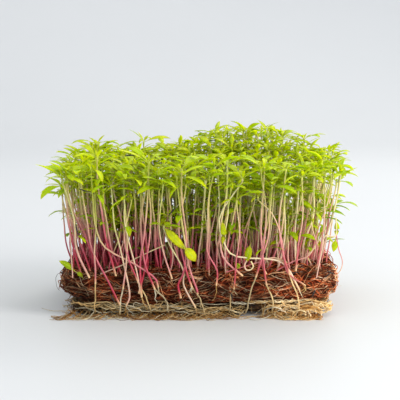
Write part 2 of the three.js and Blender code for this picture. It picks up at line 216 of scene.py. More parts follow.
def round_the_slab(inset, count):
    """Evenly spaced points round the slab, at a distance inside its sides, from the front's middle."""
    half_x = SLAB_LENGTH / 2 - inset
    half_y = SLAB_DEPTH / 2 - inset
    corner = min(SLAB_CORNER, half_y - 1)
    quarter = corner * math.pi / 2
    stretches = [half_x - corner, quarter, 2 * (half_y - corner), quarter, 2 * (half_x - corner), quarter,
                 2 * (half_y - corner), quarter, half_x - corner]
    starts = [(0, -half_y), None, (half_x, corner - half_y), None, (half_x - corner, half_y), None,
              (-half_x, half_y - corner), None, (corner - half_x, -half_y)]
    ways = [(1, 0), None, (0, 1), None, (-1, 0), None, (0, -1), None, (1, 0)]
    centres = [None, (1, -1), None, (1, 1), None, (-1, 1), None, (-1, -1), None]
    points = []
    for i in range(count):
        left = sum(stretches) * i / count
        part = 0
        while left > stretches[part]:
            left -= stretches[part]
            part += 1
        if ways[part]:
            points.append((starts[part][0] + ways[part][0] * left, starts[part][1] + ways[part][1] * left))
        else:
            angle = (part - 1) / 2 * math.pi / 2 - math.pi / 2 + left / corner
            middle = (centres[part][0] * (half_x - corner), centres[part][1] * (half_y - corner))
            points.append((middle[0] + corner * math.cos(angle), middle[1] + corner * math.sin(angle)))
    return points


def noise_at(*place):
    return noise.noise(Vector(place))


def fibre_relief(x, y, z):
    """Ridges along the layers and clumps of fibre, in millimetres out of the slab."""
    layers = noise_at(0.05 * x, 0.05 * y, 0.62 * z)
    clumps = noise.fractal(Vector((0.16 * x, 0.16 * y, 0.5 * z)), 0.6, 2.1, 4)
    return 0.9 * layers + 0.75 * clumps


def slab_rings():
    """The slab's rings, from the middle of its underside out, up its sides and in over its top."""
    levels = [(0.02, inset) for inset in (40, 34, 28)]
    for (low_share, low_inset), (high_share, high_inset) in zip(SLAB_PROFILE, SLAB_PROFILE[1:]):
        steps = 5 if low_inset > 10 else 4
        for step in range(steps):
            part = step / steps
            levels.append((mix(low_share, high_share, part), mix(low_inset, high_inset, part)))
    levels += [(1, 4.5), (1, 7), (0.99, 10), (0.985, 14), (0.98, 18), (0.98, 22), (0.98, 27), (0.98, 32),
               (0.98, 37), (0.98, 41)]
    rings = []
    for share, inset in levels:
        ring = []
        for x, y in round_the_slab(inset, SLAB_AROUND):
            bump = unevenness(x, y, share * SLAB_THICKNESS)
            relief = fibre_relief(x, y, share * SLAB_THICKNESS)
            away = max(1e-6, math.hypot(x, y))
            out = (bump + relief) * smooth((7 - inset) / 4)
            z = slab_underside(x) + share * SLAB_THICKNESS
            up = 0.5 * bump if share > 0.1 else 0.3 * abs(bump)
            if share > 0.9:
                up += 0.8 * relief
            ring.append((x + undercut(x, share) + out * x / away, y + out * y / away, z + up))
        rings.append(ring)
    return rings


def skin(rings):
    """The closed surface through a row of rings, as points in metres and faces that point outwards."""
    around = len(rings[0])
    points = [tuple(c * MM for c in point) for ring in rings for point in ring]
    faces = [tuple(reversed(range(around)))]
    for r in range(len(rings) - 1):
        for i in range(around):
            j = (i + 1) % around
            here = r * around
            faces.append((here + i, here + j, here + around + j, here + around + i))
    faces.append(tuple(range((len(rings) - 1) * around, len(rings) * around)))
    return points, faces


slab = mesh_object("coir_core", *skin(slab_rings()))
shade_smooth(slab.data)


def bumped(add, height, strength, distance):
    values = {"Height": height, "Strength": strength, "Distance": distance}
    return add("ShaderNodeBump", values).outputs["Normal"]


def core_material(name, stretch, strands, stops, relief, values):
    """What lies behind the fibres: noise drawn out along the layers gives its colour and its relief."""
    material, add, surface = new_material(name)
    place = add("ShaderNodeTexCoord").outputs["Object"]
    drawn_out = add("ShaderNodeMapping", {"Vector": place, "Scale": stretch}).outputs["Vector"]
    fibrous = add("ShaderNodeTexNoise", {"Vector": drawn_out, "Scale": 1, **strands}).outputs["Fac"]
    surface({"Base Color": ramp(add, fibrous, stops), "Normal": bumped(add, fibrous, 0.9, relief), **values})
    return material


slab.data.materials.append(core_material(
    "coir_core", (140, 140, 900), {"Detail": 8, "Roughness": 0.65, "Distortion": 1.2},
    [(0.3, (0.012, 0.003, 0.002)), (0.46, (0.11, 0.022, 0.011)), (0.6, (0.32, 0.085, 0.040)),
     (0.78, (0.56, 0.24, 0.11))], 0.0008, {"Roughness": 0.85, "Specular IOR Level": 0.25}))
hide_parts("coir_slab")
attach(slab, "root")

# Coconut fibres cover the slab: stiff, wiry hairs that lie along its sides and every way on its top. Each
# starts and ends in the slab and stands out of it in between.
SIDE_FIBRES = 3500
TOP_FIBRES = 1900
STRAY_FIBRES = 320
LOWEST_FIBRE = 0.35


def named_tree(name, inputs):
    """A Geometry Nodes tree with named inputs, the function that adds its nodes, and what it is given."""
    tree = bpy.data.node_groups.new(name, "GeometryNodeTree")
    for way in ("INPUT", "OUTPUT"):
        tree.interface.new_socket("Geometry", in_out=way, socket_type="NodeSocketGeometry")
    for label, kind in inputs.items():
        tree.interface.new_socket(label, in_out="INPUT", socket_type="NodeSocket" + kind)
    add = node_adder(tree)
    return tree, add, add("NodeGroupInput").outputs


def end_tree(add, mesh, material):
    """Ends a tree with real geometry and its material."""
    plain = add("GeometryNodeRealizeInstances", {"Geometry": mesh}).outputs["Geometry"]
    coated = add("GeometryNodeSetMaterial", {"Geometry": plain, "Material": material}).outputs["Geometry"]
    add("NodeGroupOutput", {"Geometry": coated})


def random_value(add, low, high, seed):
    return add("FunctionNodeRandomValue", {2: low, 3: high, "Seed": seed}).outputs[1]


def store(add, geometry, name, value, kind="FLOAT", domain="POINT"):
    """The geometry with a value kept on it under a name."""
    return add("GeometryNodeStoreNamedAttribute", {"Geometry": geometry, "Name": name, "Value": value},
               data_type=kind, domain=domain).outputs["Geometry"]


def recall(add, name, kind="FLOAT"):
    return add("GeometryNodeInputNamedAttribute", {"Name": name}, data_type=kind).outputs["Attribute"]


def maths(add, operation, *values):
    return add("ShaderNodeMath", dict(enumerate(values)), operation=operation).outputs["Value"]


def vectors(add, operation, *values, result="Vector"):
    return add("ShaderNodeVectorMath", dict(enumerate(values)), operation=operation).outputs[result]


def scaled(add, vector, scale):
    return add("ShaderNodeVectorMath", {0: vector, "Scale": scale}, operation="SCALE").outputs["Vector"]


def split_up(add, vector):
    return add("ShaderNodeSeparateXYZ", {"Vector": vector}).outputs


def made_of(add, **parts):
    return add("ShaderNodeCombineXYZ", parts).outputs["Vector"]


def moved(add, geometry, **move):
    return add("GeometryNodeSetPosition", {"Geometry": geometry, **move}).outputs["Geometry"]


def swept(add, lines, section, girth):
    return add("GeometryNodeCurveToMesh", {"Curve": lines, "Profile Curve": section, "Scale": girth,
                                           "Fill Caps": True}).outputs["Mesh"]


def laid_fibres_tree():
    """Scatters bent fibres over a surface: both ends are in it, and the middle stands out of it."""
    sizes = ["Fibres per square metre", "Shortest", "Longest", "Thinnest", "Thickest", "Turn from level",
             "Wander", "Bends per metre", "Stands out", "Sinks in", "Hugs the surface", "Lowest"]
    tree, add, given = named_tree("laid_fibres", {**dict.fromkeys(sizes, "Float"), "Steps": "Int",
                                                  "Seed": "Int", "Material": "Material"})
    scatter = add("GeometryNodeDistributePointsOnFaces", {
        "Mesh": given["Geometry"], "Density": given["Fibres per square metre"],
        "Seed": given["Seed"]}).outputs
    points = store(add, scatter["Points"], "facing", scatter["Normal"], "FLOAT_VECTOR")
    standing = add("FunctionNodeAlignRotationToVector", {"Vector": scatter["Normal"]}, axis="Z")
    level = vectors(add, "CROSS_PRODUCT", (0, 0, 1), scatter["Normal"])
    lying = add("FunctionNodeAlignRotationToVector", {
        "Rotation": standing.outputs["Rotation"], "Vector": level}, axis="X", pivot_axis="Z")
    turn = maths(add, "MULTIPLY", random_value(add, -1, 1, 3), given["Turn from level"])
    turned = add("FunctionNodeRotateRotation", {
        "Rotation": lying.outputs["Rotation"], "Rotate By": made_of(add, Z=turn)}, rotation_space="LOCAL")
    line = add("GeometryNodeCurvePrimitiveLine", {"Start": (-0.5, 0, 0), "End": (0.5, 0, 0)}).outputs["Curve"]
    even = add("GeometryNodeResampleCurve", {"Curve": line, "Count": given["Steps"]}).outputs["Curve"]
    each = add("GeometryNodeInstanceOnPoints", {
        "Points": points, "Instance": even, "Rotation": turned.outputs["Rotation"],
        "Scale": random_value(add, given["Shortest"], given["Longest"], 5)}).outputs["Instances"]
    fibres = add("GeometryNodeRealizeInstances", {"Geometry": each}).outputs["Geometry"]
    for name, low, high, seed in (("tone", 0, 1, 11), ("rise", given["Sinks in"], given["Stands out"], 17),
                                  ("girth", given["Thinnest"], given["Thickest"], 19)):
        fibres = store(add, fibres, name, random_value(add, low, high, seed), domain="CURVE")
    fibres = store(add, fibres, "along", add("GeometryNodeSplineParameter").outputs["Factor"])

    place = add("GeometryNodeInputPosition").outputs["Position"]
    drift = add("ShaderNodeTexNoise", {
        "Vector": place, "W": maths(add, "MULTIPLY", recall(add, "tone"), 37),
        "Scale": given["Bends per metre"], "Detail": 1}, noise_dimensions="4D").outputs["Color"]
    wander = scaled(add, vectors(add, "SUBTRACT", drift, (0.5, 0.5, 0.5)), given["Wander"])
    outward = recall(add, "facing", "FLOAT_VECTOR")
    straight_out = vectors(add, "DOT_PRODUCT", wander, outward, result="Value")
    arch = maths(add, "SINE", maths(add, "MULTIPLY", recall(add, "along"), math.pi))
    rise = maths(add, "ADD", maths(add, "MULTIPLY", straight_out, -0.6),
                 maths(add, "MULTIPLY", arch, recall(add, "rise")))
    nearest = add("GeometryNodeProximity", {"Geometry": given["Geometry"]}, target_element="FACES")
    drop = vectors(add, "SUBTRACT", nearest.outputs["Position"], place)
    fibres = moved(add, fibres, Offset=vectors(
        add, "ADD", scaled(add, drop, given["Hugs the surface"]),
        vectors(add, "ADD", wander, scaled(add, outward, rise))))
    parts = split_up(add, place)
    above_floor = maths(add, "MAXIMUM", parts["Z"], given["Lowest"])
    fibres = moved(add, fibres, Position=made_of(add, X=parts["X"], Y=parts["Y"], Z=above_floor))
    taper = maths(add, "MULTIPLY", maths(add, "MAXIMUM", maths(add, "POWER", arch, 0.35), 0.25),
                  recall(add, "girth"))
    section = add("GeometryNodeCurvePrimitiveCircle", {"Resolution": 3, "Radius": 0.5}).outputs["Curve"]
    end_tree(add, swept(add, fibres, section, taper), given["Material"])
    return tree


def grown(name, source, tree, values):
    """The plain mesh object that a tree makes from a source object, which goes."""
    ids = {s.name: s.identifier for s in tree.interface.items_tree if s.in_out == "INPUT"}
    modifier = source.modifiers.new(tree.name, "NODES")
    modifier.node_group = tree
    for label, value in values.items():
        modifier[ids[label]] = value
    shown = source.evaluated_get(bpy.context.evaluated_depsgraph_get())
    mesh = bpy.data.meshes.new_from_object(shown)
    mesh.name = name
    shade_smooth(mesh)
    made = bpy.data.objects.new(name, mesh)
    bpy.context.scene.collection.objects.link(made)
    bpy.data.objects.remove(source)
    return made


def patch_of(body, wanted):
    """A copy of the faces of a body whose middle and normal pass a test."""
    faces = [f for f in body.data.polygons if len(f.vertices) == 4 and wanted(f.center / MM, f.normal)]
    return mesh_object("patch", [v.co for v in body.data.vertices], [tuple(f.vertices) for f in faces])


def area_of(body):
    return sum(f.area for f in body.data.polygons)


laid_fibres = laid_fibres_tree()


def lay_fibres(name, patch, count, values):
    values["Fibres per square metre"] = count / area_of(patch)
    values["Lowest"] = LOWEST_FIBRE * MM
    return grown(name, patch, laid_fibres, values)


def painted(add, name):
    """A number that the piece's mesh holds under a name."""
    return add("ShaderNodeAttribute", attribute_name=name).outputs["Fac"]


def fitted(add, value, low, high, new_low, new_high):
    """A value's range moved to another one, which it doesn't leave."""
    return add("ShaderNodeMapRange", {"Value": value, "From Min": low, "From Max": high, "To Min": new_low,
                                      "To Max": new_high}).outputs["Result"]


def dimmed(add, colour, gain, *others):
    """A colour made darker or lighter by some gains."""
    for other in others:
        gain = maths(add, "MULTIPLY", gain, other)
    return scaled(add, colour, gain)


def place_on(add, axis):
    return split_up(add, add("ShaderNodeTexCoord").outputs["Object"])[axis]


coir_fibre, add, surface = new_material("coir_fibre")
browns = ramp(add, painted(add, "tone"), [
    (0.0, (0.028, 0.007, 0.004)), (0.2, (0.19, 0.024, 0.007)), (0.45, (0.48, 0.092, 0.027)),
    (0.68, (0.66, 0.22, 0.080)), (0.86, (0.84, 0.48, 0.24)), (1.0, (0.92, 0.70, 0.46))])
flecks = fitted(add, grain(add, 260, 3), 0.3, 0.7, 0.45, 1.25)
# Painted shade: dark patches of noise stand in for the shade in the gaps between fibres.
painted_gap_shade = fitted(add, grain(add, 95, 3, Roughness=0.6), 0.4, 0.58, 0.3, 1.15)
# Painted shade: fibres that lie low in the slab are darker, those that stand out of it lighter.
painted_shade_on_sunk_fibres = fitted(add, painted(add, "rise"), 0, 0.0016, 0.34, 1.25)
# Painted light: the fibres are painted lighter towards the slab's right and darker towards its left.
painted_light_from_right = fitted(add, place_on(add, "X"), -0.03, 0.065, 0.7, 1.35)
surface({"Base Color": dimmed(add, browns, flecks, painted_gap_shade, painted_shade_on_sunk_fibres, painted_light_from_right), "Roughness": 0.6,
         "Specular IOR Level": 0.1})

coir_pieces = [
    lay_fibres("coir_fibres_sides", patch_of(slab, lambda at, way: abs(way.z) < 0.75), SIDE_FIBRES, {
        "Shortest": 0.007, "Longest": 0.024, "Thinnest": 0.00022, "Thickest": 0.0007,
        "Turn from level": 0.8, "Wander": 0.007, "Bends per metre": 90.0, "Stands out": 0.0018,
        "Sinks in": -0.0002, "Hugs the surface": 0.9, "Steps": 7, "Seed": 21, "Material": coir_fibre}),
    lay_fibres("coir_fibres_top", patch_of(slab, lambda at, way: way.z >= 0.75), TOP_FIBRES, {
        "Shortest": 0.008, "Longest": 0.024, "Thinnest": 0.00022, "Thickest": 0.00075,
        "Turn from level": 3.1, "Wander": 0.007, "Bends per metre": 90.0, "Stands out": 0.003,
        "Sinks in": 0.0, "Hugs the surface": 0.8, "Steps": 5, "Seed": 22, "Material": coir_fibre}),
    lay_fibres("coir_strays", patch_of(slab, lambda at, way: way.z > -0.5 and at[2] > 8), STRAY_FIBRES, {
        "Shortest": 0.01, "Longest": 0.026, "Thinnest": 0.00022, "Thickest": 0.0005,
        "Turn from level": 3.1, "Wander": 0.011, "Bends per metre": 70.0, "Stands out": 0.0045,
        "Sinks in": 0.0005, "Hugs the surface": 0.75, "Steps": 10, "Seed": 23, "Material": coir_fibre}),
]
for piece in coir_pieces:
    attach(piece, "root")

# Where the plants stand: tufts of three in five rows, by the same seeded rule as the solids, so that every
# finer stem and leaf stands where its solid is. Two more crowns stand low at the slab's front corners.
TUFTS_IN_ROWS = [6, 5, 6, 5, 6]
ROW_LENGTH = 108
ROW_PITCH = 17
SEEDLINGS = 3
TUFT_SPREAD = 6.3
LEAN_OUT = 1.16
CROWN_HEIGHT = 75
CROWN_BACK = 3
HILL_X, HILL_Y, HILL_HEIGHT, HILL_RADIUS = 26, 28, 11, 32
CROWN_SPREAD = 6
TUFT_DROP = 12
SOCKET_DEPTH = 9
SEED_LEAF = {"length": 13.5, "width": 4.2, "lift": 0.75, "droop": 1.1, "true_leaf": False}
TRUE_LEAF = {"length": 11.5, "width": 3.3, "lift": 0.85, "droop": 0.9, "true_leaf": True}
LEAF_CLEARANCE = 2.1
LEAF_SPACING = 1.0
BUD_ABOVE_STEM = 1.1
LOW_CROWNS = [(0, (-68, -36, 59), 3.0), (5, (67, -35, 53), 0.3)]


def draws_for(seed):
    """Seeded draws, from 0 to 1 or between two values."""
    state = seed * 7919

    def draw(low=0, high=1):
        nonlocal state
        state = (state + 0x6D2B79F5) & 0xFFFFFFFF
        t = (state ^ (state >> 15)) * (state | 1) & 0xFFFFFFFF
        t ^= (t + ((t ^ (t >> 7)) * (t | 61))) & 0xFFFFFFFF
        return mix(low, high, (t ^ (t >> 14)) / 4294967296)

    return draw


def hill_at(x, y):
    return math.exp(-((math.hypot(x - HILL_X, y - HILL_Y) / HILL_RADIUS) ** 2))


def crown_height(x, y):
    return CROWN_HEIGHT + CROWN_BACK * y / (SLAB_DEPTH / 2) + HILL_HEIGHT * hill_at(x, y)


def stem_line(foot_x, foot_y, crown, sway_x, sway_y, sunk=SOCKET_DEPTH / 2):
    """A stem's four control points, from its foot in the slab to its crown."""
    lean = np.array([crown[0] - foot_x, crown[1] - foot_y])
    size = np.hypot(*lean)
    if size > 6:
        lean = lean * 6 / size
    foot = np.array([foot_x + 0.1 * lean[0], foot_y + 0.1 * lean[1], slab_top(foot_x) - sunk])
    rise = (crown[2] - foot[2]) / 3
    low = foot + (0.22 * lean[0] + sway_x, 0.22 * lean[1] + sway_y, rise)
    high = np.array([mix(foot[0], crown[0], 0.95), mix(foot[1], crown[1], 0.95), crown[2] - rise])
    return np.array([foot, low, high, np.array(crown, float)])


def on_line(line, share):
    back = 1 - share
    return (back ** 3 * line[0] + 3 * back * back * share * line[1] + 3 * back * share * share * line[2]
            + share ** 3 * line[3])


def leaf_point(leaf, share):
    """A leaf's midrib: it leaves its crown at an angle above the level and turns down along its length."""
    radius = leaf["length"] / leaf["droop"]
    lift = leaf["lift"]
    now = lift - leaf["droop"] * share
    level = radius * (math.sin(lift) - math.sin(now))
    up = radius * (math.cos(now) - math.cos(lift))
    x, y, z = leaf["crown"]["at"]
    return np.array([x + level * math.cos(leaf["turn"]), y + level * math.sin(leaf["turn"]), z + up])


def leaf_marks(leaf):
    side = np.array([-math.sin(leaf["turn"]), math.cos(leaf["turn"]), 0])
    marks = []
    for step in range(1, 10):
        half = 0.3 if step < 3 else 0.2 if step > 8 else leaf["width"] / 2
        point = leaf_point(leaf, step / 9)
        marks += [point + share * half * side for share in ((0,) if step < 3 else (-1, 0, 1))]
    return np.array(marks)


marks_placed = np.empty((0, 3))
marks_owner = np.empty(0, int)


def place_marks(owner, marks):
    global marks_placed, marks_owner
    marks_placed = np.vstack([marks_placed, marks])
    marks_owner = np.append(marks_owner, [owner] * len(marks))


def is_clear(owner, marks, clearance=LEAF_CLEARANCE):
    near = marks_placed[(marks_owner != owner) & (np.linalg.norm(marks_placed - marks[0], axis=1) < 20)]
    if not len(near):
        return True
    return np.linalg.norm(near[None] - marks[:, None], axis=2).min() > clearance


def add_leaf(tuft, leaf):
    tuft["leaves"].append(leaf)
    leaf["crown"]["taken"].append(leaf["turn"])
    place_marks(tuft["owner"], leaf_marks(leaf))


def try_leaf(tuft, crown, form, wanted, tries=26):
    """Tries a leaf at a crown in several ways, each further from the wanted one, until it is clear."""
    draw = tuft["draw"]
    for n in range(tries):
        loose = 0.25 + 1.1 * n / tries
        size = draw(0.85, 1.12) * (1 - 0.3 * n / tries)
        leaf = {"crown": crown, "turn": wanted + loose * draw(-1, 1),
                "lift": form["lift"] + 0.35 * draw(-1, 1),
                "droop": form["droop"] + 0.35 * draw(-1, 1),
                "length": size * form["length"], "width": size * form["width"],
                "true_leaf": form["true_leaf"]}
        marks = leaf_marks(leaf)
        apart = all(math.acos(math.cos(turn - leaf["turn"])) > LEAF_SPACING for turn in crown["taken"])
        inside = "reach" not in tuft or (abs(marks).max(axis=0) < tuft["reach"]).all()
        if apart and inside and is_clear(tuft["owner"], marks, tuft.get("clearance", LEAF_CLEARANCE)):
            add_leaf(tuft, leaf)
            return


def add_crown_leaves(tuft, crown, first_turn, seed_leaves, true_leaves):
    for i in range(seed_leaves):
        try_leaf(tuft, crown, SEED_LEAF, first_turn + i * math.pi)
    for i in range(true_leaves):
        try_leaf(tuft, crown, TRUE_LEAF, first_turn + (i + 0.5) * math.pi)


tufts = []
for row, count in enumerate(TUFTS_IN_ROWS):
    for column in range(count):
        draw = draws_for(100 + len(tufts))
        x = (column / (count - 1) - 0.5) * ROW_LENGTH + draw(-1.2, 1.2)
        y = (row - (len(TUFTS_IN_ROWS) - 1) / 2) * ROW_PITCH + draw(-1.2, 1.2)
        tufts.append({"x": x, "y": y, "draw": draw, "row": row, "owner": 100 + len(tufts), "stems": [],
                      "leaves": []})
for tuft in tufts:
    draw = tuft["draw"]
    turn = 2 * math.pi * draw()
    drop = TUFT_DROP * draw() ** 1.5 * (1 - hill_at(LEAN_OUT * tuft["x"], LEAN_OUT * tuft["y"]))
    for i in range(SEEDLINGS):
        angle = turn + 2 * math.pi * i / SEEDLINGS + draw(-0.25, 0.25)
        reach = TUFT_SPREAD * draw(0.85, 1.15)
        x = LEAN_OUT * tuft["x"] + reach * math.cos(angle)
        y = LEAN_OUT * tuft["y"] + reach * math.sin(angle)
        z = crown_height(x, y) - drop + CROWN_SPREAD * (draw() - 0.5)
        sway_x = draw(-2, 2)
        sway_y = draw(-2, 2)
        tuft["stems"].append({"line": stem_line(tuft["x"], tuft["y"], (x, y, z), sway_x, sway_y)})
for index, crown, turn in LOW_CROWNS:
    tuft = tufts[index]
    sway_x = -3 if crown[0] > 0 else 3
    tuft["stems"].append({"line": stem_line(tuft["x"], tuft["y"], crown, sway_x, 0), "low": True})
for index, tuft in enumerate(tufts):
    for stem in tuft["stems"]:
        stem["crown"] = {"at": stem["line"][3] + (0, 0, BUD_ABOVE_STEM), "taken": []}
        place_marks(200 + index, np.array([on_line(stem["line"], d / 34) for d in range(35)]))
        if "low" not in stem:
            place_marks(tuft["owner"], stem["crown"]["at"][None])
    tuft["crowns"] = [stem["crown"] for stem in tuft["stems"] if "low" not in stem]
for tuft in tufts:
    for here, there in zip(tuft["crowns"], tuft["crowns"][1:]):
        across, up = np.hypot(*(there["at"] - here["at"])[:2]), (there["at"] - here["at"])[2]
        turn = math.atan2(*(there["at"] - here["at"])[1::-1])
        length = np.linalg.norm(there["at"] - here["at"]) * 0.65 / math.sin(0.65)
        add_leaf(tuft, {"crown": here, "turn": turn, "lift": math.atan2(up, across) + 0.65, "droop": 1.3,
                        "length": length, "width": SEED_LEAF["width"], "true_leaf": False})
        there["taken"] = [turn + math.pi]
low_tufts = []
for i, (index, crown, turn) in enumerate(LOW_CROWNS):
    low_tufts.append({"owner": 300 + i, "draw": draws_for(300 + i), "leaves": [], "row": 0,
                      "crowns": [tufts[index]["stems"][-1]["crown"]]})
    add_crown_leaves(low_tufts[i], low_tufts[i]["crowns"][0], turn, 2, 2)
for tuft in tufts:
    a, b, c = tuft["crowns"]

    def away(here, there):
        return math.atan2(*(here["at"] - there["at"])[1::-1])

    add_crown_leaves(tuft, c, away(c, a), 2, 1)
    add_crown_leaves(tuft, a, away(a, b), 1, 2)
    add_crown_leaves(tuft, b, away(b, c) + 0.6, 1, 1)

# Between the tufts stand several hundred single seedlings. Most reach the canopy. The others were sown late
# or stand in the shade, and stay low. Along the front, many stems have come loose from the coir and hang
# down over its face. FRONT_STEMS has each one's tone and line as seen from the front, from its foot up.
SINGLE_COLUMNS = 27
SINGLE_ROWS = 12
EDGE_SINGLES = 30
SHADED_SINGLES = 150
HALF_GROWN = 64
TALL_AT_BACK = 60
LOW_SHARE = 0.48
CANOPY_X = 76
CANOPY_Y = 50
CANOPY_TOP = 90
REACH = (82, 59.5, 95)
LONE_CROWNS = [(-27.5, 88, 32), (53, 89.5, 30), (-51, 87, 16)]
FACE_Y = -46.9
RISERS = 9
RISER_FACE = SLAB_DEPTH / 2 + 2.8
SINGLE_SEED_LEAF = {**SEED_LEAF, "length": 15.5, "width": 3.8, "lift": 0.6}
SINGLE_TRUE_LEAF = {**TRUE_LEAF, "length": 15, "width": 2.6, "lift": 0.66}
SHORT_STEM = 62
FRONT_STEMS = [
    (0.80, [(-55.5, 20), (-62, 35.5), (-64, 52), (-68.5, 69)]),
    (0.05, [(-40, 6), (-45.5, 16.5), (-54, 34.5), (-57, 50), (-59, 67.5)]),
    (0.00, [(-42, 21), (-45.5, 34.5), (-48.5, 50), (-50.5, 65), (-51, 79)]),
    (0.12, [(-46, 24), (-48, 34), (-50.5, 48), (-53, 70)]),
    (0.62, [(-20.5, 15), (-22.5, 20.5), (-33.5, 28), (-47, 35.5), (-52, 46), (-53, 60), (-54, 74)]),
    (0.02, [(-50, 24), (-46.5, 42), (-41.5, 51.5), (-35, 59), (-35, 76)]),
    (0.85, [(-37, 5.5), (-34.5, 13), (-39, 35.5), (-42.5, 48.5), (-44, 66)]),
    (0.90, [(-29.5, 11.5), (-32.5, 28.5), (-37, 50), (-37.5, 59)]),
    (0.30, [(-29, 10), (-29.5, 28.5), (-27, 44.5), (-25.5, 60), (-25, 77.5)]),
    (0.10, [(-30.5, 12), (-26, 30), (-24.5, 48), (-25, 68)]),
    (0.75, [(-13.5, 19.5), (-18.5, 35.5), (-19.5, 50), (-18, 66)]),
    (0.95, [(-1.5, 4.5), (-7, 15.5), (-7.5, 23.5), (-14, 36), (-17.5, 45)]),
    (0.00, [(-9, 9.5), (-10, 16.5), (-7, 23), (-6, 38), (-8.5, 58), (-8.5, 74)]),
    (0.40, [(-0.5, 11.5), (-1, 15.5), (-5.5, 28.5), (-8, 45), (-11, 70)]),
    (0.15, [(-0.5, 25), (1, 41.5), (0, 60), (-2, 73)]),
    (0.30, [(9, 16), (9.5, 24), (5, 33.5), (4.5, 42.5), (5, 60), (8, 75)]),
    (0.70, [(22.5, 21), (12.5, 31), (11.5, 46), (14, 62), (14.5, 78)]),
    (0.30, [(34.5, 22), (31.5, 29), (34.5, 40), (36, 52), (37, 65)]),
    (0.95, [(51.5, 13.5), (45, 25), (37.5, 29.5), (19.5, 31), (13.5, 37.5), (11, 52), (22, 69)]),
    (0.10, [(54.5, 16), (45, 23.5), (42, 37.5), (37.5, 52.5), (30, 60)]),
    (0.80, [(41, 28), (39.5, 41.5), (40, 55), (37, 72)]),
    (0.60, [(46, 26), (44, 46), (44, 74)]),
    (0.20, [(49.5, 23.5), (51, 37), (52.5, 50), (52, 70)]),
    (0.02, [(56.5, 26), (59.5, 51), (59, 74)]),
    (0.00, [(61.5, 25), (66.5, 51), (69.5, 67.5)]),
]


def curved(points, count):
    """Points along a smooth curve through the given ones."""
    points = [np.array(p, float) for p in points]
    ends = [2 * points[0] - points[1], *points, 2 * points[-1] - points[-2]]
    made = []
    for i in range(count):
        place = (len(points) - 1) * i / (count - 1)
        part = min(int(place), len(points) - 2)
        t = place - part
        a, b, c, d = ends[part:part + 4]
        made.append(0.5 * (2 * b + (c - a) * t + (2 * a - 5 * b + 4 * c - d) * t * t
                           + (3 * b - a - 3 * c + d) * t ** 3))
    return np.array(made)


def seen_at(across, up, y):
    """The point at a depth y that is seen where the given point of the slab's front plane is seen."""
    share = (y + CAMERA_AWAY) / (CAMERA_AWAY - SLAB_DEPTH / 2)
    return (CAMERA_RIGHT + (across - CAMERA_RIGHT) * share, y, CAMERA_UP - (CAMERA_UP - up) * share)


singles = []


def add_single(y, low, size, draw, points, tone=None):
    """One seedling that stands by itself, along the given points."""
    single = {"owner": 1000 + len(singles), "draw": draw, "leaves": [], "clearance": 0.45, "low": low,
              "reach": REACH, "size": size, "row": int(max(0, min(row_count - 1, round(y / ROW_PITCH + 2))))}
    crown = {"at": np.array(points[-1], float) + (0, 0, BUD_ABOVE_STEM), "taken": []}
    single["stems"] = [{"points": points, "crown": crown, "tone": tone}]
    single["crowns"] = [crown]
    singles.append(single)


def add_leaning(x, y, crown, sway_x, sway_y, low, size, draw):
    """A single seedling that leans from its foot to its crown."""
    line = stem_line(x, y, crown, sway_x, sway_y, sunk=2)
    add_single(y, low, size, draw, [on_line(line, share) for share in np.linspace(0, 1, 9)])


def sow(x, y, low_share, draw, droop=1.5):
    """A single seedling, which stays low in the given share of draws."""
    low = draw() < low_share
    size = draw(0.7, 1) if low else draw(0.8, 1.05)
    lean = 1 if low else LEAN_OUT
    crown_x = max(-CANOPY_X + 6, min(CANOPY_X - 4, lean * x + draw(-6, 6)))
    crown_y = max(-CANOPY_Y + 2, min(CANOPY_Y - 2, lean * y + draw(-6, 6)))
    crown_z = crown_height(crown_x, crown_y) - (mix(9, 45, draw() ** droop) if low else 12 * draw() ** 1.3)
    crown = (crown_x, crown_y, min(CANOPY_TOP, crown_z))
    add_leaning(x, y, crown, draw(-5, 5), draw(-4, 4), low, size, draw)


def spaced(i, count, draw):
    """The i-th of some uneven places between 0 and 1."""
    return (i + draw(0.1, 0.9)) / count


row_count = len(TUFTS_IN_ROWS)
draw = draws_for(41)
for row in range(SINGLE_ROWS):
    for column in range(SINGLE_COLUMNS):
        x = (spaced(column, SINGLE_COLUMNS, draw) - 0.5) * (SLAB_LENGTH - 10)
        y = (spaced(row, SINGLE_ROWS, draw) - 0.5) * (SLAB_DEPTH - 12)
        sow(x, y, LOW_SHARE, draw)
for i in range(EDGE_SINGLES):
    x = (spaced(i, EDGE_SINGLES, draw) - 0.5) * (SLAB_LENGTH - 8)
    sow(x, draw(-42, -38), 0.45, draw)
for i in range(SHADED_SINGLES):
    x = (spaced(i, SHADED_SINGLES, draw) ** 1.25 - 0.5) * (SLAB_LENGTH - 14)
    sow(x, draw(-26, 38), 1, draw, 0.9)
for i in range(TALL_AT_BACK):
    x = (spaced(i, TALL_AT_BACK, draw) - 0.5) * (SLAB_LENGTH - 12)
    sow(x, draw(2, 40), 0.15, draw)
for across, up, y in LONE_CROWNS:
    crown = seen_at(across, up, y)
    line = stem_line(0.84 * crown[0], 0.84 * y, crown, draw(-3, 3), draw(-3, 3), sunk=2)
    add_single(y, False, 1.05, draw, [on_line(line, share) for share in np.linspace(0, 1, 9)])
for i in range(HALF_GROWN):
    x = mix(-66, 66, spaced(i, HALF_GROWN, draw))
    y = draw(-38, -18)
    crown = (x + draw(-5, 5), y + draw(-6, 3), draw(38, 64))
    add_leaning(x, y, crown, draw(-4, 4), draw(-3, 3), True, draw(0.85, 1.1), draw)
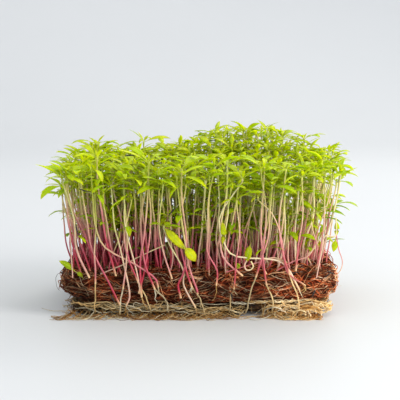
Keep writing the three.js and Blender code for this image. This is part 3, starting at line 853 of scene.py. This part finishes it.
for tone, seen in FRONT_STEMS:
    foot_height = seen[0][1]
    short = seen[-1][1] < SHORT_STEM
    foot_y = FACE_Y
    if foot_height > slab_top(seen[0][0]):
        share = (CAMERA_UP - slab_top(seen[0][0]) + 1) / (CAMERA_UP - foot_height)
        foot_y = max(FACE_Y + 6, share * (CAMERA_AWAY - SLAB_DEPTH / 2) - CAMERA_AWAY)
    points = []
    for across, up in seen:
        over = smooth((up - 24) / 40)
        points.append(seen_at(across, up, mix(foot_y, foot_y - 1.5, over)))
    crown_size = 0.7 if short else draw(1.05, 1.3)
    add_single(-40, short, crown_size, draw, points, tone)
riser_lines = []
for i in range(RISERS):
    draw = draws_for(800 + i)
    x = mix(-56, 56, (i + draw(0.2, 0.8)) / RISERS)
    lean = draw(-7, 7)
    height = slab_underside(x) + draw(8, 15)
    riser_lines.append([(x, 9 - RISER_FACE, 2.4), (x, 0.8 - RISER_FACE, 2.6),
                        (x + 0.2 * lean, -RISER_FACE, slab_underside(x) + 3),
                        (x + lean, -RISER_FACE - 0.3, height)])
    top = draw(58, 76)
    points = [(x + lean, -RISER_FACE - 0.3, height), (x + 1.7 * lean, -RISER_FACE - 0.6, height + 12),
              (x + 2 * lean, -RISER_FACE - 0.6, mix(height, top, 0.6)),
              (x + 1.5 * lean, -RISER_FACE - 0.9, top)]
    add_single(-40, top < 64, draw(0.85, 1.15), draw, points, draw())


def resized(form, size):
    return {**form, "length": form["length"] * size, "width": form["width"] * size}


for single in singles:
    draw = single["draw"]
    crown = single["crowns"][0]
    seed_form = resized(SINGLE_SEED_LEAF, single["size"])
    true_form = resized(SINGLE_TRUE_LEAF, single["size"])
    turn = 2 * math.pi * draw()
    true_leaves = int(draw(1, 4.99)) if single["low"] else int(draw(3, 6.99))
    for i in range(2):
        try_leaf(single, crown, seed_form, turn + i * math.pi, 14)
    for i in range(true_leaves):
        try_leaf(single, crown, true_form, turn + 2.4 * i + 1.2, 14)

# The stems: thin, smooth and juicy, crimson or pink at the foot, pale above and green under the crown. Some
# stay red all the way, and some are nearly white. They are swept along their lines, thinner at the top.
STEM_POINTS = 17
STEM_FOOT_RADIUS = 0.55
STEM_TOP_RADIUS = 0.4
KINK_SEED = 5
noise.seed_set(KINK_SEED)
ROUND_STEM = {"Sides": 5, "Flatness": 1.0, "Fold": 0.0}


def swept_tree(name, normal_mode):
    """Sweeps a round or flattened section along each edge chain, as thick as its points' girth says."""
    tree, add, given = named_tree(name, {"Sides": "Int", "Flatness": "Float", "Fold": "Float",
                                         "Material": "Material"})
    lines = add("GeometryNodeMeshToCurve", {"Mesh": given["Geometry"]}).outputs["Curve"]
    upright = add("GeometryNodeSetCurveNormal", {"Curve": lines}, mode=normal_mode).outputs["Curve"]
    rolled = add("GeometryNodeSetCurveTilt", {"Curve": upright, "Tilt": recall(add, "roll")}).outputs["Curve"]
    ring = add("GeometryNodeCurvePrimitiveCircle", {"Resolution": given["Sides"], "Radius": 1})
    parts = split_up(add, add("GeometryNodeInputPosition").outputs["Position"])
    ring = store(add, ring.outputs["Curve"], "across", parts["X"])
    fold = maths(add, "MULTIPLY", maths(add, "ABSOLUTE", parts["X"]), given["Fold"])
    height = maths(add, "SUBTRACT", maths(add, "MULTIPLY", parts["Y"], given["Flatness"]), fold)
    section = moved(add, ring, Position=made_of(add, X=parts["X"], Y=height))
    end_tree(add, swept(add, rolled, section, recall(add, "girth")), given["Material"])
    return tree


swept_strands = swept_tree("swept_strands", "MINIMUM_TWIST")


def new_strands():
    return {"points": [], "edges": [], "girth": [], "along": [], "tone": [], "roll": []}


def add_strand(strands, points, girths, tone, roll=0, along=(0, 1)):
    first = len(strands["points"])
    count = len(points)
    strands["points"] += [tuple(c * MM for c in point) for point in points]
    strands["edges"] += [(first + i, first + i + 1) for i in range(count - 1)]
    strands["girth"] += [girth * MM for girth in girths]
    strands["along"] += [mix(*along, i / (count - 1)) for i in range(count)]
    strands["tone"] += [tone] * count
    strands["roll"] += [roll] * count


def strands_object(name, strands, tree, values):
    source = mesh_object(name + "_lines", strands["points"], [], strands["edges"])
    for label in ("girth", "along", "tone", "roll"):
        source.data.attributes.new(label, "FLOAT", "POINT").data.foreach_set("value", strands[label])
    return grown(name, source, tree, values)


def mixed(add, share, colour, other):
    return add("ShaderNodeMix", {0: share, 6: colour, 7: (*other, 1)}, data_type="RGBA").outputs[2]


stem_skin, add, surface = new_material("stem_skin")
tone = painted(add, "tone")
along = painted(add, "along")
by_height = ramp(add, maths(add, "ADD", along, fitted(add, tone, 0, 1, -0.2, 0.16)), [
    (0.0, (0.52, 0.032, 0.062)), (0.12, (0.60, 0.095, 0.14)), (0.27, (0.68, 0.24, 0.23)),
    (0.43, (0.74, 0.46, 0.29)), (0.58, (0.70, 0.58, 0.21)), (0.76, (0.56, 0.60, 0.06)),
    (1.0, (0.42, 0.56, 0.010))])
# Some stems are nearly white by their tone; towards the slab's right all are also painted paler, as painted
# light.
paler_and_lit_right = add("ShaderNodeMath", {0: fitted(add, tone, 0.62, 0.95, 0, 0.6),
                               1: fitted(add, place_on(add, "X"), -0.01, 0.06, 0, 0.14)},
            operation="ADD", use_clamp=True)
bleached_and_lit_right = mixed(add, paler_and_lit_right.outputs["Value"], by_height, (0.90, 0.74, 0.50))
rooted = mixed(add, fitted(add, along, 0, 0.09, 1, 0), bleached_and_lit_right, (0.84, 0.56, 0.28))
mottle = fitted(add, grain(add, 420, 3), 0.3, 0.7, 0.82, 1.12)
# Painted light: stems are painted lighter towards the slab's right and darker towards its left.
painted_light_on_right_stems = fitted(add, place_on(add, "X"), -0.06, 0.06, 0.9, 1.13)
surface({"Base Color": dimmed(add, rooted, mottle, painted_light_on_right_stems), "Roughness": 0.38, "Specular IOR Level": 0.45,
         "Subsurface Weight": 0.12, "Subsurface Radius": (1.0, 0.5, 0.3), "Subsurface Scale": 0.0008})


def stem_points(stem, count, wobble, seed):
    """A stem's line with the small kinks of a stem that grew towards the light."""
    if "points" in stem:
        line = curved(stem["points"], count)
        wobble *= 0.5
    else:
        line = [on_line(stem["line"], i / (count - 1)) for i in range(count)]
    points = []
    for i, (x, y, z) in enumerate(line):
        share = i / (count - 1)
        kink = noise.noise_vector(Vector((seed * 7.3, 2.6 * share, seed * 1.9)))
        ease = math.sin(math.pi * share)
        points.append((x + wobble * ease * kink[0], y + wobble * ease * kink[1], z))
    return points


numbered_tufts = list(enumerate(tufts, 1))
for row in range(row_count):
    strands = new_strands()
    plants = [tuft for tuft in tufts if tuft["row"] == row]
    plants += [single for single in singles if single["row"] == row]
    for index, plant in enumerate(plants):
        draw = draws_for(3000 + 100 * row + index)
        for stem in plant["stems"]:
            low = plant.get("low") or stem.get("low")
            width = draw(0.85, 1.1) * (0.82 if low else 1)
            points = stem_points(stem, STEM_POINTS, 3, 100 * row + index + draw())
            radii = [width * mix(STEM_FOOT_RADIUS, STEM_TOP_RADIUS, i / (STEM_POINTS - 1))
                     for i in range(STEM_POINTS)]
            top = stem["crown"]["at"]
            points += [tuple(top - (0, 0, 0.5)), tuple(top + (0, 0, 0.35)), tuple(top + (0, 0, 0.8))]
            radii += [0.62 * width, 0.6 * width, 0.2 * width]
            # Stems at the left get redder, darker tones: partly their own crimson, partly painted shade.
            redder_and_shaded_left = 0.4 if points[0][0] < -25 else 1
            tone = redder_and_shaded_left * draw() if stem.get("tone") is None else stem["tone"]
            add_strand(strands, points, radii, tone)
    piece = strands_object(f"stems_row_{row + 1}", strands, swept_strands, {
        **ROUND_STEM, "Material": stem_skin})
    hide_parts(*[f"stems_{n:02d}" for n, tuft in numbered_tufts if tuft["row"] == row])
    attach(piece, "root")

# The leaves: each crown has two narrow seed leaves on short stalks, pointed true leaves across them and a
# few young ones that still stand up. They are thin, a little folded along the midrib, and let light through.
SEED_OUTLINE = [0.17, 0.14, 0.28, 0.70, 0.95, 1.0, 0.90, 0.60, 0.06]
TRUE_OUTLINE = [0.18, 0.16, 0.36, 0.74, 1.0, 0.90, 0.70, 0.40, 0.03]
LEAF_POINTS = len(SEED_OUTLINE)
leaf_blades = swept_tree("leaf_blades", "Z_UP")

leaf_skin, add, surface = new_material("leaf_skin")
along = painted(add, "along")
from_rib = maths(add, "ABSOLUTE", painted(add, "across"))
greens = ramp(add, painted(add, "tone"), [
    (0.0, (0.08, 0.17, 0.002)), (0.3, (0.23, 0.38, 0.002)), (0.6, (0.40, 0.57, 0.001)),
    (0.85, (0.485, 0.65, 0.001)), (1.0, (0.58, 0.70, 0.003))])
mottled = dimmed(add, greens, fitted(add, grain(add, 300, 4), 0.3, 0.7, 0.78, 1.15))
ribbed = mixed(add, fitted(add, from_rib, 0, 0.22, 0.42, 0), mottled, (0.52, 0.62, 0.09))
stalked = mixed(add, fitted(add, along, 0.12, 0.34, 0.6, 0), ribbed, (0.48, 0.58, 0.07))
slanted = made_of(add, X=maths(add, "MULTIPLY_ADD", from_rib, -0.16, along))
veins = add("ShaderNodeTexWave", {"Vector": slanted, "Scale": 4.2, "Distortion": 1.5}).outputs["Fac"]
surface({"Base Color": stalked, "Normal": bumped(add, veins, 0.25, 0.0002), "Roughness": 0.55,
         "Specular IOR Level": 0.14, "Subsurface Weight": 0.85, "Subsurface Radius": (0.8, 1.0, 0.1),
         "Subsurface Scale": 0.002})


def add_blade(strands, leaf, draw, tone):
    """A leaf's blade along its midrib, bent a little to one side."""
    outline = TRUE_OUTLINE if leaf["true_leaf"] else SEED_OUTLINE
    side = np.array([-math.sin(leaf["turn"]), math.cos(leaf["turn"]), 0])
    drift = draw(-0.12, 0.12) * leaf["length"]
    points = []
    for i in range(LEAF_POINTS):
        share = i / (LEAF_POINTS - 1)
        points.append(leaf_point(leaf, share) + drift * share * share * side)
    half = 0.46 * leaf["width"]
    add_strand(strands, points, [half * width for width in outline], tone, draw(-0.45, 0.45))


def leaf_tone(height, draw):
    """Leaves that stand in the light at the top are lime green, and those in the shade are deeper."""
    light = smooth((height - 40) / 42)
    return max(0.02, min(0.98, mix(0.4, 0.72, light) + draw(-0.24, 0.24)))


for row in range(row_count):
    strands = new_strands()
    plants = [tuft for tuft in tufts if tuft["row"] == row]
    plants += [single for single in singles if single["row"] == row]
    plants += low_tufts if row == 0 else []
    for index, plant in enumerate(plants):
        draw = draws_for(5000 + 200 * row + index)
        for leaf in plant["leaves"]:
            add_blade(strands, leaf, draw, leaf_tone(leaf["crown"]["at"][2], draw))
        for crown in plant["crowns"]:
            turn = 2 * math.pi * draw()
            for i in range(3):
                size = draw(0.75, 1.2) * plant.get("size", 1)
                young = {"crown": crown, "turn": turn + 2.1 * i + draw(-0.4, 0.4),
                         "lift": draw(0.75, 1.3), "droop": draw(0.4, 0.9),
                         "length": 6.5 * size, "width": 1.5 * size, "true_leaf": True}
                add_blade(strands, young, draw, leaf_tone(crown["at"][2] + 8, draw))
    piece = strands_object(f"leaves_row_{row + 1}", strands, leaf_blades, {
        "Sides": 8 if row == 0 else 4, "Flatness": 0.1, "Fold": 0.2, "Material": leaf_skin})
    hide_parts(*[f"leaves_{n:02d}" for n, tuft in numbered_tufts if tuft["row"] == row])
    if row == 0:
        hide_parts("leaves_low_left", "leaves_low_right")
    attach(piece, "root")

# The roots under the slab: a flat mat of pale roots that have grown through the coir and turned along the
# tray's floor. The mat is hollow in one place at the front right. Fine roots cover it on every side.
ROOT_INSET = 5
ROOT_AROUND = 240
MAT_SIDE_ROOTS = 1300
MAT_FLOOR_ROOTS = 280
ROOT_WIDTH = 1.0


def root_underside(x, y):
    across = math.exp(-(((x - 26) / 5) ** 2))
    return 3 * across * smooth((4 - y) / 20)


def root_rings():
    levels = [(0, 39), (0, 34), (0, 29), (0, 24), (0, 18), (0, 13), (0, 10)]
    levels += [(0.03, 8), (0.12, 6.4), (0.25, 5.6), (0.4, 5), (0.6, 4.8), (0.78, 5.6), (0.92, 7.2), (1, 10)]
    levels += [(1, 16), (1, 24), (1, 34), (1, 40)]
    rings = []
    for rise, inset in levels:
        ring = []
        for x, y in round_the_slab(inset, ROOT_AROUND):
            edge = smooth((14 - inset) / 6)
            bump = 0.6 * math.sin(0.44 * x + 5 * rise) + 0.9 * noise_at(0.3 * x, 0.3 * y, 2 * rise)
            bump += 2.2 * noise_at(0.07 * x, 0.07 * y, 0.8 * rise + 4)
            away = max(1e-6, math.hypot(x, y))
            z = mix(root_underside(x, y), slab_underside(x) + 0.3, rise)
            z += edge * 0.5 * (1 - rise) * max(0, noise_at(0.5 * x, 0.5 * y, 7))
            ring.append((x + edge * bump * x / away, y + edge * bump * y / away, z))
        rings.append(ring)
    return rings


mat = mesh_object("root_mat", *skin(root_rings()))
shade_smooth(mat.data)


def root_material(name, stops, shaded_left, roughness):
    """Pale, damp plant fibre, mottled. Left of the hollow at the front it has painted shade, as dark as
    given, and elsewhere a little painted light.
    """
    material, add, surface = new_material(name)
    roots = ramp(add, painted(add, "tone"), stops)
    flecks = fitted(add, grain(add, 330, 4), 0.3, 0.7, 0.6, 1.12)
    to_front = maths(add, "MULTIPLY_ADD", place_on(add, "Y"), 1.2, place_on(add, "X"))
    light = fitted(add, maths(add, "ADD", to_front, 0.05), 0.022, 0.036, shaded_left, 1.15)
    surface({"Base Color": dimmed(add, roots, flecks, light), "Roughness": roughness,
             "Specular IOR Level": 0.25})
    return material


matted_root = root_material("matted_root", [
    (0.0, (0.09, 0.028, 0.006)), (0.25, (0.28, 0.105, 0.022)), (0.5, (0.54, 0.25, 0.06)),
    (0.75, (0.78, 0.48, 0.17)), (1.0, (0.92, 0.76, 0.42))], 0.34, 0.6)
loose_root = root_material("loose_root", [
    (0.0, (0.26, 0.095, 0.020)), (0.25, (0.54, 0.25, 0.058)), (0.5, (0.78, 0.46, 0.15)),
    (0.8, (0.92, 0.70, 0.36)), (1.0, (0.95, 0.86, 0.63))], 0.66, 0.5)
# The mat's core is dark brown: partly the roots' own colour, partly painted shade under the loose fibres.
mat.data.materials.append(core_material(
    "root_core", (260, 260, 800), {"Detail": 7, "Distortion": 1.6},
    [(0.3, (0.012, 0.005, 0.002)), (0.46, (0.05, 0.020, 0.007)), (0.6, (0.16, 0.075, 0.024)),
     (0.8, (0.40, 0.22, 0.08))], 0.0007, {"Roughness": 0.7}))
HOLLOW_X = (21, 35)


def in_hollow(x, y):
    return HOLLOW_X[0] < x < HOLLOW_X[1] and y < -34


def outside_hollow(at, way):
    return abs(way.z) < 0.8 and not in_hollow(at[0], at[1])


def flat_below(at, way):
    return way.z < -0.8 and at[2] < 0.2


mat_fibres = [
    lay_fibres("root_mat_sides", patch_of(mat, outside_hollow), MAT_SIDE_ROOTS, {
        "Shortest": 0.008, "Longest": 0.026, "Thinnest": 0.00025, "Thickest": 0.0005,
        "Turn from level": 0.7, "Wander": 0.014, "Bends per metre": 120.0, "Stands out": 0.002,
        "Sinks in": 0.0, "Hugs the surface": 0.85, "Steps": 9, "Seed": 31, "Material": matted_root}),
    lay_fibres("root_mat_floor", patch_of(mat, flat_below), MAT_FLOOR_ROOTS, {
        "Shortest": 0.01, "Longest": 0.03, "Thinnest": 0.0004, "Thickest": 0.0008,
        "Turn from level": 3.1, "Wander": 0.003, "Bends per metre": 80.0, "Stands out": 0.0,
        "Sinks in": -0.0004, "Hugs the surface": 0.9, "Steps": 7, "Seed": 32, "Material": matted_root}),
]
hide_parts("roots")
for piece in [mat, *mat_fibres]:
    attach(piece, "root")

# Loose roots round the mat. Thick root ends come out of it, bend down to the surface and turn along it, finer
# ones curl between them, long ones run along the slab's lower edge, and the front stems' feet branch there.
FINE_FRINGE = 90
EDGE_ROOTS = 64
HANGING_ROOTLETS = 18
FLOOR_ROOTS = 230
PAD_LOOPS = 60


def add_root(strands, points, count, width, draw, tone, thin_end=0.35):
    line = curved(points, count)
    seed = 50 * draw()
    kinked = []
    for i, point in enumerate(line):
        kink = noise.noise_vector(Vector((seed + 0.45 * i, 3.1 * seed, 0)))
        ease = min(1, 0.4 * i)
        at = point + 0.8 * ease * np.array(kink)
        at[2] = max(0.6 * width, at[2])
        kinked.append(at)
    radii = [0.5 * width * mix(1, thin_end, (i / (count - 1)) ** 1.5) for i in range(count)]
    add_strand(strands, kinked, radii, tone)


def stations_round(inset, count):
    """Points round the slab with the ways along its side and out of it."""
    ring = round_the_slab(inset, 6 * count)
    for i in range(count):
        here = np.array(ring[6 * i])
        way = np.array(ring[6 * i + 1]) - here
        way /= np.hypot(*way)
        yield here, way, np.array([way[1], -way[0]])


strands = new_strands()
for i, (here, way, out) in enumerate(stations_round(ROOT_INSET + 4, 22)):
    draw = draws_for(700 + i)
    turn = draw(-1, 1)
    if in_hollow(*here):
        continue
    reach = draw(7, 12)
    places = [(-0.4, 0, 2.4), (0.45, 0.1, 2.2), (0.95, 0.5, 0.55), (1.05, 1.3, 0.55)]
    points = [(*(here + share * reach * out + turned * turn * reach * way), z) for share, turned, z in places]
    add_root(strands, points, 14, ROOT_WIDTH, draw, draw(0.55, 1))
for i, (here, way, out) in enumerate(stations_round(ROOT_INSET + 3, FINE_FRINGE)):
    draw = draws_for(7000 + i)
    if in_hollow(*here):
        continue
    turn = draw(-1.6, 1.6)
    reach = draw(3.5, 9.5)
    start = draw(0.6, 5)
    along_floor = draw(0.3, 0.7)
    places = [(-0.5, 0, start), (0.5, 0.15, start + draw(-0.6, 1.4)), (0.9, 0.5, 1.2),
              (0.95, 0.9, 0.35), (draw(0.3, 1.15), 1.3 + along_floor, 0.35)]
    points = [(*(here + share * reach * out + turned * turn * reach * way), z) for share, turned, z in places]
    add_root(strands, points, 13, draw(0.4, 0.8), draw, draw())
for i, line in enumerate(riser_lines):
    draw = draws_for(8600 + i)
    add_root(strands, line[::-1], 16, 0.8 * ROOT_WIDTH, draw, draw(0.6, 0.95), 0.7)
feet = [single["stems"][0]["points"][0] for single in singles]
feet = [foot for foot in feet if foot[1] < FACE_Y + 1 and foot[2] < slab_top(foot[0]) - 2]
for i, foot in enumerate(feet):
    draw = draws_for(8700 + i)
    for n in range(int(draw(0.4, 2.8))):
        aside = draw(-4.5, 4.5)
        low = max(0.6, foot[2] - draw(1, 9))
        points = [foot, (foot[0] + 0.2 * aside, foot[1], mix(foot[2], low, 0.45)),
                  (foot[0] + 0.6 * aside, foot[1] + draw(0, 0.8), mix(foot[2], low, 0.75)),
                  (foot[0] + aside, foot[1] + draw(-0.5, 2), low)]
        add_root(strands, points, 10, draw(0.4, 0.75), draw, draw(0.3, 1), 0.4)
for i in range(EDGE_ROOTS):
    draw = draws_for(8000 + i)
    left = i < 0.62 * EDGE_ROOTS
    along_edge = i > 0.82 * EDGE_ROOTS
    start = draw(-66, 10) if left else draw(8, 46) if along_edge else draw(34, 58)
    run = draw(12, 30 if along_edge else 40)
    run = min(run, (24 if left else 68) - start)
    height = slab_underside(start) + 1 if along_edge else mix(0.8, slab_underside(start) + 1.5, draw() ** 0.9)
    points = []
    for n in range(6):
        over = draw(-1.5, 1.8)
        x = start + run * n / 5
        points.append((x + draw(-2, 2), draw(-46.6, -43.6),
                       max(0.5, mix(height, slab_underside(x) * draw(0, 1), 0 if along_edge else 0.3)
                           + (0.4 if along_edge else 1) * over)))
    points[0] = (start, -41, height)
    points[-1] = (start + run, -41, max(0.6, points[-1][2]))
    add_root(strands, points, 26, draw(0.35, 0.8), draw, draw(0.45, 1), 0.7)
# The floor roots' tones lean dark: partly brown root, partly painted shade on the floor in front of the slab.
for i in range(FLOOR_ROOTS):
    draw = draws_for(9000 + i)
    x = draw(-69, 18) if i < 0.75 * FLOOR_ROOTS else draw(36, 64)
    y = draw(-43, -38)
    run = draw(5, 20) * (1 if draw() < 0.5 else -1)
    run = max(-75, min(63, x + run)) - x
    out = draw(-54, -45)
    points = [(x, y, draw(0.8, 4)), (x + 0.25 * run, mix(y, out, 0.6), draw(0.5, 2)),
              (x + 0.6 * run, out, 0.4), (x + run, draw(out, -45), 0.4)]
    add_root(strands, points, 14, draw(0.28, 0.6), draw, draw() ** 1.5, 0.5)
for i in range(HANGING_ROOTLETS):
    draw = draws_for(8200 + i)
    x = mix(18, 34, (i + draw()) / HANGING_ROOTLETS)
    y = draw(-41, -30)
    top = slab_underside(x) + 0.5
    points = [(x, y, top), (x + draw(-1.5, 1.5), y - 0.8, 0.6 * top),
              (x + draw(-3, 3), y - draw(-1, 2), draw(0.5, 2.5))]
    add_root(strands, points, 8, draw(0.35, 0.6), draw, draw(0.3, 1), 0.4)
for i in range(PAD_LOOPS):
    draw = draws_for(8400 + i)
    radius = draw(2, 6)
    x = draw(37, 60)
    y = draw(-50.5, -41)
    z = draw(0.3, 3.2)
    first = draw(-0.5, 1)
    sweep_round = draw(2.2, 5)
    lean = draw(-0.9, 0.9)
    points = []
    for n in range(7):
        angle = first + sweep_round * n / 6
        points.append((x + radius * math.cos(angle), y + lean * radius * math.sin(angle) + 1.2 * n / 6,
                       max(0.4, min(9, z + 0.8 * radius * math.sin(angle)))))
    add_root(strands, points, 20, draw(0.35, 0.7), draw, draw(0.3, 1), 0.7)
loose_roots = strands_object("loose_roots", strands, swept_strands, {**ROUND_STEM, "Material": loose_root})
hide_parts("roots")
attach(loose_roots, "root")

# Odd leaves and loops that hang in front of the stems: each leaf has its tone, its width and its midrib as
# seen from the front, and faces forwards. The thin stems that carry them curl round on themselves.
HANGING_LEAVES = [
    (0.95, 4.4, -48.5, [(-17.5, 46), (-15.5, 44), (-11.5, 39.5), (-6.5, 34.5)]),
    (1.00, 5.2, -48.8, [(-8, 36.5), (-6, 34.5), (-3.5, 31.5), (-1.5, 28.5)]),
    (0.72, 2.9, -48.0, [(11.5, 50.5), (12.2, 47.5), (12.8, 42), (12, 37.5)]),
    (0.66, 3.8, -47.5, [(26.5, 38), (25.8, 35.5), (25, 32), (24.3, 28)]),
    (0.30, 2.8, -47.0, [(18, 28.5), (19, 27.2), (20, 26), (20.6, 24.8)]),
    (0.62, 2.8, -44.0, [(69.4, 51), (69.8, 48), (70, 45), (69.7, 41.5)]),
    (0.60, 3.3, -44.0, [(69.6, 41), (69.3, 38.5), (69, 36.5), (68.4, 33.5)]),
    (0.34, 3.0, -46.0, [(-61.5, 22.5), (-64.5, 24.8), (-67.5, 27.2), (-70.8, 28.8)]),
    (0.28, 2.4, -45.5, [(-58.5, 19.5), (-59.5, 21), (-60.5, 22), (-61.8, 22.6)]),
    (0.50, 3.2, -46.5, [(-18.5, 46), (-17, 47.5), (-15.5, 47.3), (-14.5, 45.8)]),
]
CURLED_STEMS = [
    (0.85, 0.8, -47.5, [(24.5, 29), (23.4, 26.6), (24.2, 24.2), (26.4, 24.2), (27.8, 26), (26.6, 28.6)]),
    (0.80, 0.7, -44.5, [(60, 20), (62.5, 34), (64, 41.5), (69.4, 41.8), (69.5, 51)]),
    (0.30, 0.5, -44.0, [(69.8, 42), (71, 35), (73, 29), (72.4, 24.5), (69.5, 20.5)]),
    (0.85, 0.6, -46.0, [(-64, 20), (-64.5, 30), (-65, 41), (-66, 50), (-68.6, 57)]),
    (0.45, 0.6, -46.5, [(14, 23), (30, 28), (38, 30.5), (45, 28)]),
    (0.90, 0.6, -45.5, [(-50, 22), (-38, 27), (-26, 33), (-17, 37)]),
    (0.30, 0.7, -46.0, [(40, 24), (48, 28.5), (55, 31), (59, 36)]),
]
FORWARDS = math.pi / 2
strands = new_strands()
for tone, width, y, seen in HANGING_LEAVES:
    draw = draws_for(9300 + len(strands["points"]))
    points = curved([seen_at(*point, y) for point in seen], LEAF_POINTS)
    add_strand(strands, points, [0.5 * width * share for share in SEED_OUTLINE], tone,
               FORWARDS + draw(-0.35, 0.35))
hanging_leaves = strands_object("hanging_leaves", strands, leaf_blades, {
    "Sides": 8, "Flatness": 0.1, "Fold": 0.14, "Material": leaf_skin})
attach(hanging_leaves, "root")
strands = new_strands()
for tone, width, y, seen in CURLED_STEMS:
    points = curved([seen_at(*point, y) for point in seen], 20)
    add_strand(strands, points, [0.5 * width] * 20, tone, along=(0.15, 0.6))
curled_stems = strands_object("curled_stems", strands, swept_strands, {**ROUND_STEM, "Material": stem_skin})
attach(curled_stems, "root")

# The husks of the seeds: slender black husks with a pale tuft of bristles at one end. Some still hang on the
# leaves, and some lie on the coir. Each has its middle as seen from the front, its depth, slope and length.
HUSKS = [
    (-33.5, 82.5, -50, 0.05, 8), (-57, 64.5, -52, -0.35, 7), (-12.5, 55, -49.5, 0.8, 8),
    (-61.5, 43.5, -49, -1.4, 9), (-43.5, 8.5, -48.2, -1.15, 7), (17, 9.5, -48.2, -1.4, 6.5),
    (59, 12.5, -48, 1.1, 5), (67.5, 22.5, -45, -0.5, 5), (66, 21.5, -45, 0.6, 4), (33, 30, -40, 0.2, 6),
    (5, 61, -38, 0.5, 7), (36, 57, -38, -0.6, 7), (46, 73, -30, 0.3, 7), (-20, 41, -36, 1.2, 7),
    (-50, 74, -30, 0.9, 7), (22, 70, -30, -1.0, 7), (-4, 24.5, -40, 0.1, 6), (28, 24, -38, -0.2, 7),
    (-30, 23.5, -41, 0.25, 6), (50, 22.8, -44, 0.1, 6), (61, 61, -36, 1.0, 7), (-41, 58, -38, -0.9, 7),
]
HUSK_OUTLINE = [0.35, 0.75, 1.0, 0.95, 0.8, 0.5, 0.42, 0.16]
husk_skin, add, surface = new_material("husk_skin")
darks = ramp(add, painted(add, "along"), [
    (0.0, (0.10, 0.075, 0.05)), (0.1, (0.012, 0.010, 0.010)), (0.68, (0.016, 0.013, 0.012)),
    (0.76, (0.32, 0.26, 0.17)), (1.0, (0.62, 0.54, 0.38))])
surface({"Base Color": darks, "Normal": bumped(add, grain(add, 900, 3), 0.6, 0.0002), "Roughness": 0.55})
strands = new_strands()
for across, up, y, slope, length in HUSKS:
    middle = np.array(seen_at(across, up, y))
    way = np.array([math.cos(slope), 0.12, math.sin(slope)])
    bow = np.array([-math.sin(slope), 0, math.cos(slope)])
    points = []
    for share in np.linspace(-0.5, 0.5, len(HUSK_OUTLINE)):
        points.append(middle + length * share * way + 0.4 * (0.25 - share * share) * bow)
    add_strand(strands, points, [0.5 * width for width in HUSK_OUTLINE], 0.5)
husks = strands_object("seed_husks", strands, swept_strands, {
    "Sides": 6, "Flatness": 0.7, "Fold": 0.0, "Material": husk_skin})
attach(husks, "root")
